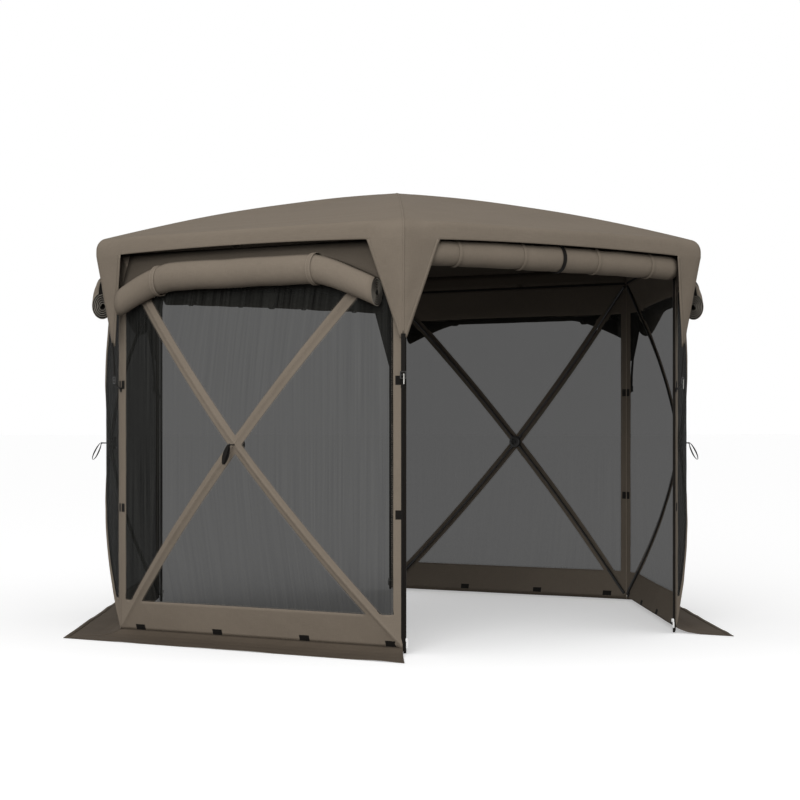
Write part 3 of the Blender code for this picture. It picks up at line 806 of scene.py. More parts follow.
def roll_depth(u):
    """The roll's depth as a share of its height: its ends are pressed flat against the wall."""
    return 1 - ROLL_FLAT * smooth_step((abs(u) - ROLL_LEVEL_HALF) / 0.2)


# Canopy


def corner_direction(index):
    """Unit vector from the centre to a corner of the hexagon, front left first."""
    angle = math.radians(-120 + 60 * index)
    return Vector((math.cos(angle), math.sin(angle), 0.0))


def beside_corner(index, distance, radius, softness=1.0):
    """A place so far beside a corner, to its left if that is negative. No corner is sharp."""
    corner = corner_direction(index)
    way = (corner_direction(index + (1 if distance >= 0 else -1)) - corner).normalized()
    pulled_in = CORNER_ROUND * max(1 - abs(distance) / CORNER_REACH, 0.0) ** 2 * softness
    return corner * (radius - pulled_in) + way * abs(distance)


def nearest_corner(index, share, radius):
    """The nearest corner to a place on a side of the hexagon, and the distance beside it."""
    if share <= 0.5:
        return index, share * radius
    return index + 1, min((share - 1) * radius, -1e-9)


def canopy_rows():
    """Rows from the peak to the valance's edge: radius, height or None, and outward lean."""
    rows = [(TURN_RADIUS * step / 30, None, 0.0) for step in range(1, 31)]
    for angle in spaced(EAVE_TURN, UPRIGHT, 8)[1:]:
        radius = EAVE_RADIUS - EAVE_ROUND + EAVE_ROUND * math.sin(angle)
        rows.append((radius, EAVE_MIDDLE + EAVE_ROUND * math.cos(angle), angle))
    heights = spaced(EAVE_MIDDLE, VALANCE_BOTTOM, 3)[1:]
    return rows + [(EAVE_RADIUS, height, UPRIGHT) for height in heights]


def canopy_point(index, distance, radius, height, lean):
    """A point of the canopy so far beside a corner, to its left if that is negative."""
    if height is None:
        place = beside_corner(index, distance, radius)
        place.z = panel_height(radius, 1 - 2 * abs(distance) / radius)
        place.z += ROOF_RIPPLE * noise.noise(place * 2.3) * smooth_step(radius / 0.6)
        return place
    # The eave is round at its corners and creased between them
    crease = EAVE_ROUND * smooth_step((abs(distance) - CREASE_FROM) / CREASE_OVER)
    out, up = [math.sqrt(max(value, 0.0)) - value for value in (math.sin(lean), math.cos(lean))]
    place = beside_corner(index, distance, radius + out * crease)
    wave = noise.noise(Vector((place.x * 5, place.y * 5, 3.0)))
    place += corner_direction(index) * 0.0018 * wave * math.sin(lean)
    place.z = height + up * crease + valance_lift(index, distance, height)
    return place


def valance_lift(index, distance, height):
    """How much the valance's cut edge is arched up between two flaps, less further up."""
    flap = flap_half(index)
    across = min(max((abs(distance) - flap) / (EAVE_RADIUS / 2 - flap), 0.0), 1.0)
    down = min(max((EAVE_MIDDLE - height) / (EAVE_MIDDLE - VALANCE_BOTTOM), 0.0), 1.0)
    return VALANCE_ARCH * across * (2 - across) * down


def flap_half(index):
    """Half a corner flap's width at the eave. The one at the front left is cut wider."""
    return WIDE_FLAP_HALF if index % 6 == 0 else FLAP_HALF


def flap_width(index, share):
    """Half a corner flap's width, share 0 at the eave and 1 at the tip."""
    return flap_half(index) + (FLAP_TIP_HALF - flap_half(index)) * share


def flap_ends(index):
    """Shares of one side of the eave where its two flaps end."""
    start, end = [flap_half(index + step) / EAVE_RADIUS for step in (0, 1)]
    return start, 1 - end


def eave_shares(index):
    """Places of the columns along one side of the eave, from 0 to 1."""
    start, end = flap_ends(index)
    return [*spaced(0, start, 8)[:-1], *spaced(start, end, 24), *spaced(end, 1, 8)[1:-1]]


def sew_canopy():
    """The canopy cloth with its valance, flaps and ridge seams."""
    cloth = Pattern()
    rows = []
    flats = []
    slant = 0.0
    for radius, height, lean in canopy_rows():
        places = [nearest_corner(i, share, radius) for i in range(6) for share in eave_shares(i)]
        row = [canopy_point(*place, radius, height, lean) for place in places]
        slant += (row[0] - rows[-1][0]).length if rows else radius
        rows.append(row)
        flats.append([(along, slant) for along in spaced(0, 6 * radius, len(row))])
    rows.insert(0, [Vector((0.0, 0.0, PEAK_HEIGHT))] * len(row))
    flats.insert(0, [(0.0, 0.0)] * (len(row) + 1))
    cloth.add(rows[::-1], flats[::-1], closed=True)
    for index in range(6):
        add_flap(cloth, index)
        add_ridge_seam(cloth, index)
    # Painted shade: the canopy's underside takes the darker second material
    obj = cloth.sew("canopy_cloth", ("taupe_polyester", "canopy_underside_painted_shade"))
    return thicken(obj, outward=False, painted_shade_inside=True)


def flap_place(index, across, share, out=0.0):
    """A point of a corner flap: across from -1 to 1, share 0 at the valance and 1 at the tip."""
    radius = EAVE_RADIUS + (FLAP_TIP_RADIUS - EAVE_RADIUS) * share
    ripple = 0.004 * math.sin(math.pi * share) * noise.noise(Vector((across * 2, share * 3, index)))
    distance = flap_width(index, share) * across
    place = beside_corner(index, distance, radius + out + ripple, 1 + 1.5 * share)
    place.z = VALANCE_BOTTOM + (FLAP_TIP_HEIGHT - VALANCE_BOTTOM) * share
    return place


def add_flap(cloth, index):
    """One corner flap, in one with the valance above it, and its two hems."""
    steps = spaced(-1, 1, 16)
    drop = VALANCE_BOTTOM - FLAP_TIP_HEIGHT
    rows = []
    flats = []
    for share in spaced(1, 0, FLAP_ROWS):
        rows.append([flap_place(index, across, share) for across in steps])
        half = flap_width(index, share)
        flats.append([(across * half + index, 3.0 + drop * share) for across in steps])
    edge = canopy_rows()[-1]
    rows[-1] = [canopy_point(index, across * flap_half(index), *edge) for across in steps]
    cloth.add(rows, flats)
    for side in (-1, 1):
        hem = []
        for share in spaced(1, 0, FLAP_ROWS):
            half = flap_width(index, share)
            inner = max(half - HEM_WIDTH, 0.004) / half
            pair = [flap_place(index, side * value, share, HEM_RISE) for value in (inner, 1.0)]
            hem.append(pair[::side])
        cloth.add(hem, [[(0.0, row / 50), (HEM_WIDTH, row / 50)] for row in range(len(hem))])


def add_ridge_seam(cloth, index):
    """The felled seam along a ridge, over the eave and down the flap's middle."""
    rows = []
    alongs = []
    for radius, height, lean in canopy_rows()[1:]:
        lift = corner_direction(index) * SEAM_RISE * math.sin(lean)
        lift.z = SEAM_RISE * math.cos(lean)
        rows.append([canopy_point(index, d, radius, height, lean) + lift for d in RIDGE_SEAM])
        alongs.append(0.05 * len(rows))
    for share in spaced(0, 1, FLAP_ROWS)[1:-1]:
        half = flap_width(index, share)
        rows.append([flap_place(index, d / half, share, SEAM_RISE) for d in RIDGE_SEAM])
        alongs.append(alongs[-1] + 0.02)
    flats = [[(-0.007, along), (0.0, along), (0.007, along)] for along in alongs]
    cloth.add(rows[::-1], flats[::-1])


def valance_lines():
    """Seam lines of the canopy: over the valance's hem and along the flaps' edges."""
    lines = []
    hem = VALANCE_BOTTOM + 0.014
    for index in range(6):
        line = []
        for share in spaced(*flap_ends(index), 40):
            corner = nearest_corner(index, share, EAVE_RADIUS)
            place = canopy_point(*corner, EAVE_RADIUS, hem, UPRIGHT)
            line.append(place + Vector((place.x, place.y, 0)).normalized() * 0.0004)
        lines.append(line)
        for side in (-1, 1):
            line = []
            for share in spaced(0, 1, FLAP_ROWS):
                half = flap_width(index, share)
                across = side * max(half - 0.013, 0.005) / half
                line.append(flap_place(index, across, share, 0.0014))
            lines.append(line)
    return lines


# Walls


def inset_triangle(corners, insets):
    """The triangle inside this one, each side moved in by its own distance."""
    centre = sum(corners, Vector((0, 0))) / 3
    lines = []
    for index, inset in enumerate(insets):
        start = corners[index]
        way = (corners[(index + 1) % 3] - start).normalized()
        normal = Vector((-way.y, way.x))
        if normal.dot(centre - start) < 0:
            normal = -normal
        lines.append((start + normal * inset, way))
    found = []
    for index in range(3):
        (a, u), (b, v) = lines[index - 1], lines[index]
        share = ((b.x - a.x) * v.y - (b.y - a.y) * v.x) / (u.x * v.y - u.y * v.x)
        found.append(a + u * share)
    return found


def crossing(a, b, z):
    """The point of a line at this height."""
    return a + (b - a) * ((z - a.y) / (b.y - a.y))


def wall_panels(tuck=0.0):
    """The four panels between a wall's rods, each as its outline and its window's outline.

    Both outlines of a panel have the same number of corners, so that bands lie between them.
    The windows at the sides are cut off level by the bottom band and the top band.
    """
    hub = Vector((0.0, HUB_HEIGHT))
    sleeve = SLEEVE_WIDTH / 2 - tuck
    low = SEAM_HEIGHT + BOTTOM_BAND - tuck
    high = WALL_TOP - TOP_BAND + tuck
    panels = []
    for z, band, way in ((SEAM_HEIGHT, BOTTOM_BAND, 1), (WALL_TOP, TOP_BAND, -1)):
        outline = [Vector((-way * HALF, z)), Vector((way * HALF, z)), hub]
        panels.append((outline, inset_triangle(outline, (band - tuck, sleeve, sleeve))))
    for way in (1, -1):
        first, last = [Vector((way * HALF, z)) for z in (SEAM_HEIGHT, WALL_TOP)[::way]]
        tri = inset_triangle([first, last, hub], (SIDE_STRIP - tuck, sleeve, sleeve))
        cuts = (low, high)[::way]
        side = [crossing(tri[0], tri[1], cut) for cut in cuts]
        rods = [crossing(tri[0], tri[2], cuts[0]), crossing(tri[1], tri[2], cuts[1])]
        middles = [(a + b) / 2 for a, b in zip(side, rods)]
        window = [middles[0], *side, middles[1], rods[1], tri[2], rods[0]]
        posts = [first.lerp(last, 0.10), first.lerp(last, 0.90)]
        outline = [first, *posts, last, last.lerp(hub, 0.22), hub, first.lerp(hub, 0.22)]
        panels.append((outline, window))
    return panels


def outline_ring(corners):
    """Points once round an outline. A three-sided one has as many as a seven-sided one."""
    steps = (42, 42, 42) if len(corners) == 3 else (6, 36, 6, 8, 32, 32, 8)
    ring = []
    for start, end, count in zip(corners, [*corners[1:], corners[0]], steps):
        ring += [start.lerp(end, step / count) for step in range(count)]
    return ring


def add_rings(cloth, rings, out):
    """Cloth between rings of places on a wall."""
    rows = [[cloth_point(place, out) for place in ring] for ring in rings]
    cloth.add(rows, [[*map(tuple, ring), tuple(ring[0])] for ring in rings], closed=True)


def add_top_strip(cloth, bottom, edge, columns, rows):
    """The cloth from this height up to a wall's top edge."""
    strip = []
    for share in spaced(0, 1, rows):
        across = spaced(-edge, edge, columns)
        strip.append([outside(u, 0, bottom + (wall_top_edge(u) - bottom) * share) for u in across])
    cloth.add(strip, lambda point: (point.x, point.z))


def sew_border(name, turn):
    """The bands, side strips and crossed rod sleeves of one wall."""
    cloth = Pattern()
    for outline, window in wall_panels():
        pairs = list(zip(outline_ring(outline), outline_ring(window)))
        add_rings(cloth, [[a.lerp(b, share) for a, b in pairs] for share in BAND_SHARES], 0.0)
    add_top_strip(cloth, WALL_TOP, HALF, 42, 3)
    # Painted shade: the wall cloth's inner side takes the darker second material
    obj = cloth.sew(f"wall_cloth_{name}", ("taupe_polyester", "inner_side_painted_shade"), turn, 70)
    return thicken(obj, painted_shade_inside=True)


def sew_screen(name, turn):
    """The four mesh windows of one wall, whose edges are sewn in between layers of cloth."""
    cloth = Pattern()
    for _, window in wall_panels(tuck=0.003):
        centre = sum(window, Vector((0, 0))) / len(window)
        ring = outline_ring(window)
        rings = [[centre.lerp(place, share) for place in ring] for share in spaced(1, 0, 12)]
        add_rings(cloth, rings, 0.0004)
    return cloth.sew(f"mesh_screen_{name}", ("knitted_mesh",), turn, 70)


def window_lines(turn):
    """Seam lines round the four windows of one wall, on the outside of its bands."""
    lines = []
    for _, window in wall_panels(tuck=-0.0045):
        for start, end in zip(window, [*window[1:], window[0]]):
            places = [start.lerp(end, share) for share in spaced(0, 1, 24)]
            lines.append([turn_matrix(turn) @ cloth_point(place, 0.0014) for place in places])
    return lines


def add_tab(pattern, middle, width, height, lift):
    """A small rectangle of hook-and-loop tape on a wall's outside, and one on its inside."""
    flats = [[(x, z) for x in spaced(0, width, 4)] for z in spaced(0, height, 3)]
    for way, start in ((1, lift), (-1, 0.0)):
        rows = []
        for row in range(4):
            line = []
            for column in range(5):
                place = Vector((width * (column / 4 - 0.5), height * (row / 3 - 0.5)))
                edge = 0.0 if row in (0, 3) or column in (0, 4) else 1.0
                out = start + way * (0.0003 + 0.0014 * edge)
                line.append(cloth_point(Vector(middle) + place, out))
            rows.append(line[::way])
        pattern.add(rows, flats)


def sew_tabs(name, turn):
    """Hook-and-loop tabs for the wind panel: down the side strips and along the bottom."""
    tabs = Pattern()
    for side in (-1, 1):
        for height in SIDE_TABS:
            add_tab(tabs, (side * (HALF - 0.0175), height), 0.028, 0.042, 0.0013)
    for u in BOTTOM_TABS:
        add_tab(tabs, (u, SEAM_HEIGHT + 0.015), 0.054, 0.027, 0.0022)
    return tabs.sew(f"hook_tabs_{name}", ("hook_and_loop",), turn)


def sew_trims(name, turn):
    """The piped seam at a wall's right side, tape inside its top line and down its doorway."""
    trims = Pattern()
    door_side = 1 if name in ("front_left", "back_right") else -1
    heights = spaced(0.012, 0.012 + WALL_TOP, 30)
    seam = upright(HALF, -APOTHEM - 0.0005, heights)
    add_section(trims, seam, round_section(0.0024, 8), 1 if door_side > 0 else 0)
    edge = door_side * (HALF - BINDING_WIDTH / 2)
    outs = [wall_bulge(edge, min(z, WALL_TOP)) + 0.0017 for z in heights]
    binding = [(outside(edge, out, z), FRONT) for z, out in zip(heights, outs)]
    add_section(trims, binding, flat_section(BINDING_WIDTH, TAPE_THICKNESS), 1)
    across = spaced(0.01 - HALF, HALF - 0.01, 30)
    tape = [(outside(u, -TAPE_THICKNESS, WALL_TOP), -FRONT) for u in across]
    add_section(trims, tape, flat_section(0.012, TAPE_THICKNESS), 1)
    return trims.sew(f"wall_trims_{name}", ("taupe_polyester", "nylon_webbing"), turn)


# Rods and hubs


def rod_place(side, end, share):
    """A point of a wall rod's middle, share 0 at the wall's corner and 1 at the hub.

    A roll presses the rod in, and the rod's stiffness spreads that over a longer stretch.
    """
    outs = []
    for step in range(-5, 6):
        near = min(max(share + 0.018 * step, 0.0), 1.0)
        u = side * HALF * (1 - near)
        z = end + (HUB_HEIGHT - end) * near
        outs.append(min(HUB_BULGE * near * (2 - near), behind_roll(u, z)))
    out = sum(outs) / len(outs) - ROD_INSET
    return outside(side * HALF * (1 - share), out, end + (HUB_HEIGHT - end) * share)


def sew_rods(rods, name, turn=0):
    """The finished object of rods with their end sleeves and hub."""
    return rods.sew(name, ("fibreglass_rod", "rubber_sleeve", "moulded_nylon"), turn)


def make_wall_frame(name, turn):
    """Four rods with end sleeves, and the hub with its sockets, inside one wall."""
    rods = Pattern()
    for side in (-1, 1):
        for end in (SEAM_HEIGHT, WALL_TOP):
            for first, last, count, radius, slot in ROD_PARTS:
                path = [(rod_place(side, end, share), None) for share in spaced(first, last, count)]
                add_section(rods, path, round_section(radius, 10), slot)
    deep = WALL_HUB_DEPTH
    rings = [
        (0.0, 0.80), (0.0, 0.92), (0.002, 1.0), (deep - 0.002, 1.0), (deep, 0.92), (deep, 0.55),
        (deep - 0.005, 0.50), (deep - 0.005, 0.20), (deep, 0.16), (deep, 0.001),
    ]
    face = outside(0, HUB_BULGE - ROD_INSET - 0.002, HUB_HEIGHT)
    add_turned(rods, face, -FRONT, rings, WALL_HUB_RADIUS, 2)
    return sew_rods(rods, f"wall_rods_{name}", turn)


def roof_rod(index, low, high, count):
    """The path of a roof rod's middle between two distances from the centre."""
    radii = spaced(low, high, count)
    ends = [Vector((0, 0, ridge_height(radius) - ROOF_ROD_DROP)) for radius in radii]
    return [(corner_direction(index) * radius + end, None) for radius, end in zip(radii, ends)]


def make_roof_frame():
    """Six rods under the ridges with their hub and its sockets."""
    rods = Pattern()
    for index in range(6):
        path = roof_rod(index, 0.03, TURN_RADIUS - 0.012, 32)
        add_section(rods, path, round_section(ROD_RADIUS, 10), 0)
        add_section(rods, path[-5:], round_section(ROD_SLEEVE_RADIUS, 10), 1)
        add_section(rods, roof_rod(index, 0.036, 0.072, 3), round_section(0.0085, 10), 2)
    top = ridge_height(0.0) - 0.0135
    rings = [
        (0.0, 0.001), (0.0, 0.30), (0.004, 0.34), (0.004, 0.60), (0.0, 0.64), (0.0, 0.94),
        (0.002, 1.0), (ROOF_HUB_DEPTH - 0.004, 1.0), (ROOF_HUB_DEPTH, 0.9),
    ]
    base = Vector((0, 0, top - ROOF_HUB_DEPTH))
    add_turned(rods, base, Vector((0, 0, 1)), rings, ROOF_HUB_RADIUS, 2)
    return sew_rods(rods, "roof_rods")


# Skirts


def skirt_height(out):
    """Height of the skirt's underside at this distance outside the wall."""
    for (a, low), (b, high) in zip(SKIRT_CURVE, SKIRT_CURVE[1:]):
        if out <= b:
            share = (out - a) / (b - a)
            return low + (high - low) * (smooth_step(share) + share) / 2
    return SKIRT_CURVE[-1][1]


def sew_skirt(name, turn):
    """The cloth apron outside one wall, hemmed and mitred where it meets the next one."""
    cloth = Pattern()
    outs = spaced(0.0004, SKIRT_REACH, 22)
    for first, raise_by in ((0, 0.0), (20, SKIRT_HEM_RISE)):
        rows = []
        for out in outs[first:]:
            end = HALF + out * TAN_MITRE - 0.0006
            row = []
            for u in spaced(-end, end, 64):
                ripple = noise.noise(Vector((u * 3.2, out * 5, turn)))
                lift = max(ripple, 0.0) * SKIRT_RIPPLE * smooth_step((out - 0.05) / 0.2)
                lift *= smooth_step((end - abs(u)) / 0.15)
                row.append(outside(u, out, skirt_height(out) + lift + raise_by))
            rows.append(row)
        cloth.add(rows[::-1], lambda point: (point.x, point.y + APOTHEM))
    # Painted shade: the skirt takes the darker skirt material
    return thicken(cloth.sew(f"skirt_cloth_{name}", ("skirt_polyester_painted_shade",), turn, 70))


# Rolls


def pinch(u, ties, depth):
    """How much thinner a roll is here, where its ties pull it in."""
    return depth * sum(math.exp(-(((u - tie) / PINCH_REACH) ** 2)) for tie in ties)


def wound_roll(name, half_length, radius, turn, tree, shape):
    """One roll of cloth: a straight one along X, whose rings are then moved to their places.

    Only the outermost turn shows the cloth's outer side; the inner turns are near black, a painted
    shade for the gaps between them. The rims show at the roll's ends, paler as a painted highlight.
    The shape gives a ring's distance out, height, size and depth at its place along the roll.
    """
    rolls = bpy.context.scene.gazebo_rolls
    places = spaced(-half_length, half_length, 44)
    swell = [1 + 0.02 * noise.noise(Vector((u * 9, 2, half_length))) for u in places]
    values = {
        "Turns": rolls.turns,
        "Core": rolls.core,
        "Outer": radius - rolls.layer / 2,
        "Steps": rolls.steps,
        # Painted highlight: the rims of the layers take the paler material
        "Material": material("roll_rims_painted_highlight"),
    }
    obj = plain_mesh([[(u, 0, 0) for u in places]], tree, values, name, swell)
    # Painted shade: the inner turns take the near-black material, for the shade between them
    for side in ("taupe_polyester", "roll_gaps_painted_shade", "roll_gaps_painted_shade"):
        obj.data.materials.append(material(side))
    for face in obj.data.polygons:
        inner = math.hypot(face.center.y, face.center.z) < ROLL_OUTER_TURN * radius
        face.material_index = 3 if inner else 2
    for vertex in obj.data.vertices:
        u, y, z = vertex.co
        out, height, size, depth = shape(u)
        vertex.co = outside(u, out - y * size * depth, height + z * size)
    obj.data.transform(turn_matrix(turn))
    thicken(obj, rolls.layer, outward=False)
    # The side it adds faces outwards and takes the slot before, and the rims take the first, the paler
    # painted highlight
    obj.modifiers[-1].material_offset = -1
    obj.modifiers[-1].material_offset_rim = -3
    return obj


def wind_roll(name, turn, tree):
    """One wound wind panel."""

    def shape(u):
        sway = 0.0020 * noise.noise(Vector((u * 6, turn, 5)))
        size = roll_size(u) / ROLL_RADIUS - pinch(u, ROLL_TIES, 0.03)
        return roll_out(u), roll_height(u) + sway, size, roll_depth(u)

    return wound_roll(f"wind_roll_{name}", ROLL_HALF_LENGTH, ROLL_RADIUS, turn, tree, shape)


def sew_roll_drop(name, turn):
    """The cloth between a wall's top line and its rolled wind panel."""
    cloth = Pattern()
    rows = []
    flats = []
    edge = ROLL_HALF_LENGTH + 0.012
    for share in spaced(0, 1, 6):
        row = []
        for u in spaced(-edge, edge, 44):
            radius = roll_size(u) - 0.001
            low_out = roll_out(u) + radius * roll_depth(u) * math.cos(DROP_LEAN)
            low_z = roll_height(u) + radius * math.sin(DROP_LEAN)
            out = low_out + (0.006 - low_out) * share
            z = low_z + (WALL_TOP - 0.006 - low_z) * share
            out = max(out, wall_bulge(u, min(z, WALL_TOP)) + 0.007)
            row.append(outside(u, out + math.sin(math.pi * share) * 0.004, z))
        rows.append(row)
        flats.append([(point.x, point.z + share * 0.05) for point in row])
    cloth.add(rows, flats)
    # Painted shade: the drop takes the darker material
    return thicken(cloth.sew(f"wind_roll_drop_{name}", ("drop_painted_shade",), turn, 70))


def ring_path(u, out, z, radius, depth=1.0):
    """A closed path round a roll, in a plane across it."""
    path = []
    for angle in around(32):
        way = Vector((0, -math.cos(angle), math.sin(angle)))
        place = outside(u, out + radius * depth * math.cos(angle), z + radius * way.z)
        path.append((place, way))
    return path


def add_ties(name, turn):
    """Two tan ties round a rolled wind panel."""
    ties = Pattern()
    for u in ROLL_TIES:
        path = ring_path(u, roll_out(u), roll_height(u), roll_size(u) + 0.0024, roll_depth(u))
        add_section(ties, path, flat_section(0.026, 0.0022), closed=True)
        for offset in (-0.0095, 0.0095):
            seam = [(point + Vector((offset, 0, 0)) + out * 0.0011, out) for point, out in path]
            add_section(ties, seam, flat_section(0.0018, 0.0009), 1, closed=True)
    return ties.sew(f"roll_ties_{name}", ("taupe_polyester", "thread"), turn)


def door_roll_height(u):
    """Height of a door roll's middle, which its straps pull up between the flaps."""
    return DOOR_ROLL_HEIGHT + DOOR_ROLL_RISE * (1 - (u / DOOR_ROLL_HALF_LENGTH) ** 2)


def door_roll_size(u):
    """Size of a door roll as a share of its radius, smallest at its ends."""
    return 0.98 - 0.05 * (u / DOOR_ROLL_HALF_LENGTH) ** 2


def door_roll(name, turn, tree):
    """One wound door."""

    def shape(u):
        sag = 0.005 * abs(noise.noise(Vector((u * 5, turn, 9))))
        size = door_roll_size(u) - pinch(u, DOOR_TIES, 0.055)
        return DOOR_ROLL_OUT, door_roll_height(u) - sag, size, 1.0

    name = f"door_roll_cloth_{name}"
    return wound_roll(name, DOOR_ROLL_HALF_LENGTH, DOOR_ROLL_RADIUS, turn, tree, shape)


def add_door_straps(name, turn):
    """Four thin tan straps and a black one round a rolled door."""
    straps = Pattern()
    for u, width, slot in (*((tie, 0.017, 0) for tie in DOOR_TIES), (DOOR_STRAP, 0.021, 1)):
        radius = DOOR_ROLL_RADIUS * door_roll_size(u) + (0.0026 if slot else 0.0004)
        path = ring_path(u, DOOR_ROLL_OUT, door_roll_height(u), radius)
        add_section(straps, path, flat_section(width, 0.0034), slot, closed=True)
    return straps.sew(f"door_straps_{name}", ("taupe_polyester", "nylon_webbing"), turn)


def sew_header(name, turn):
    """The strip of cloth over a doorway."""
    cloth = Pattern()
    add_top_strip(cloth, HEADER_BOTTOM, HALF - CORNER_CLEAR, 40, 4)
    # Painted shade: the header's inner side takes the darker second material
    sides = ("taupe_polyester", "inner_side_painted_shade")
    return thicken(cloth.sew(f"header_cloth_{name}", sides, turn), painted_shade_inside=True)


# Zips


def sew_jamb(corner, side, turn):
    """One side of a doorway: a dark piping at the corner and the zip tape beside it."""
    strip = Pattern()
    edge = side * (HALF - CORNER_CLEAR)
    tape_middle = edge - side * (JAMB_WIDTH + 0.004) / 2
    tape = []
    piping = []
    for height in spaced(0.004, HEADER_BOTTOM - 0.001, 60):
        wave = 0.0005 * noise.noise(Vector((0, height * 9, side)))
        tape.append((outside(tape_middle, JAMB_OUT - wave, height), FRONT))
        piping.append((outside(edge - side * 0.0028, JAMB_OUT, height), FRONT))
    add_section(strip, tape, flat_section(JAMB_WIDTH - 0.0045, TAPE_THICKNESS))
    add_section(strip, piping, round_section(0.0026, 8))
    return strip.sew(f"zip_half_{corner}", ("zip_tape",), turn)


def zip_line(side, turn):
    """The line of a jamb's free edge, which carries the zip's elements."""
    free = side * (HALF - CORNER_CLEAR - JAMB_WIDTH + 0.0012)
    heights = (0.012, 0.6, 1.2, HEADER_BOTTOM - 0.003)
    return [turn_matrix(turn) @ outside(free, JAMB_OUT, z) for z in heights]


def add_slider_plate(slider, free, y, way):
    """One of a slider's two plates, crowned and widest at half its height."""
    rows = []
    flats = []
    for share in spaced(0, 1, 8):
        z = SLIDER_REST + SLIDER_HEIGHT * share
        half = 0.0060 - 0.0018 * abs(2 * share - 1) ** 3
        top = 0.0011 + 0.0009 * math.sin(math.pi * share)
        ring = [
            (half, 0.0), (half * 0.8, top), (-half * 0.8, top), (-half, 0.0),
            (-half * 0.8, -0.0010), (half * 0.8, -0.0010),
        ]
        rows.append([Vector((free + a, y + b * way, z)) for a, b in ring])
        flats.append([(step * 0.004, z) for step in range(7)])
    caps = [[Vector((free, y, row[0].z))] * 6 for row in (rows[0], rows[-1])]
    rows = [row[::way] for row in (caps[0], *rows, caps[1])]
    slider.add(rows, [flats[0], *flats, flats[-1]], closed=True)


def cast_slider(corner, side, turn):
    """A zip slider: two plates with a crown and a bail, and its pull tab."""
    slider = Pattern()
    free = side * (HALF - CORNER_CLEAR - JAMB_WIDTH)
    middle = -(APOTHEM + JAMB_OUT)
    centre_z = SLIDER_REST + SLIDER_HEIGHT / 2
    for way in (-1, 1):
        add_slider_plate(slider, free, middle + way * 0.0031, way)
    nose_x = free - side * 0.0042
    nose = [(Vector((nose_x, middle + y, centre_z + 0.005)), None) for y in (-0.003, 0.0, 0.003)]
    add_section(slider, nose, round_section(0.0020, 8))
    outer = middle - 0.0050
    bail = []
    for angle in spaced(0, math.pi, 8):
        y = outer + 0.0008 - 0.0026 * math.sin(angle)
        bail.append((Vector((free, y, centre_z - 0.006 * math.cos(angle))), None))
    add_section(slider, bail, round_section(0.0009, 6))
    top = SLIDER_REST + 0.012
    low = SLIDER_REST - 0.028
    halves = (0.0026, 0.0034, 0.0045, 0.0045, 0.0035)
    path = upright(free, outer - 0.0018, (top, top - 0.010, top - 0.018, low + 0.003, low))
    widths = [half / 0.0045 for half in halves]
    add_section(slider, path, flat_section(0.0110, 0.0024), radii=widths)
    return slider.sew(f"slider_{corner}", ("lacquered_zinc",), turn)


# Straps and loops


def make_strap(name, angle):
    """The webbing from a flap's tip, its buckle, and the tab down to the corner."""
    strap = Pattern()
    foot = SIDE + 0.0031
    hang = SIDE + STRAP_HANG
    tip = FLAP_TIP_RADIUS - 0.003
    start = BUCKLE_LOW + 0.006
    upper = []
    for share in spaced(0, 1, 14):
        radius = hang + 0.002 + (tip - hang) * share - 0.0012 * math.sin(share * math.pi)
        z = start + (FLAP_TIP_HEIGHT + 0.018 - start) * share
        upper.append((Vector((0, -radius, z)), FRONT))
    add_section(strap, upper, flat_section(STRAP_WIDTH, 0.0040))
    doubled = [(point - Vector((0, 0.0022, 0)), FRONT) for point, _ in upper[1:6]]
    add_section(strap, doubled, flat_section(TAB_WIDTH, 0.0016))
    tab = []
    for share in spaced(0, 1, 10):
        radius = foot + 0.001 + (hang + 0.004 - foot) * smooth_step(share)
        z = STRAP_TAB_TOP - 0.013 + (BUCKLE_LOW + 0.010 - STRAP_TAB_TOP + 0.013) * share
        tab.append((Vector((0, -radius, z)), FRONT))
    add_section(strap, tab, flat_section(TAB_WIDTH, 0.0026))
    foot_patch = upright(0, -foot - 0.0006, spaced(STRAP_FOOT, STRAP_FOOT + 0.022, 3))
    add_section(strap, foot_patch, flat_section(STRAP_WIDTH, 0.0022))
    face = -(hang + 0.0052)
    for z in (BUCKLE_LOW + 0.001, (BUCKLE_LOW + BUCKLE_HIGH) / 2, BUCKLE_HIGH - 0.001):
        bar = [(Vector((x, face, z)), FRONT) for x in (-0.012, -0.004, 0.004, 0.012)]
        add_section(strap, bar, round_section(0.0024, 8), 1)
    rails = (BUCKLE_LOW - 0.001, BUCKLE_LOW + 0.01, BUCKLE_HIGH - 0.01, BUCKLE_HIGH + 0.001)
    for x in (-0.0125, 0.0125):
        add_section(strap, upright(x, face, rails), round_section(0.0027, 8), 1)
    # Painted highlight: a pale bar on the hook's front stands for the light it catches; the left and
    # right corners have none
    if name not in ("left", "right"):
        hook = upright(0.0030, face - 0.0033, [BUCKLE_LOW + step for step in HOOK_STEPS])
        add_section(strap, hook, flat_section(0.0046, 0.0026), 2)
    finishes = ("nylon_webbing", "moulded_nylon", "hook_bar_painted_highlight")
    return strap.sew(f"flap_strap_{name}", finishes, angle + 90)


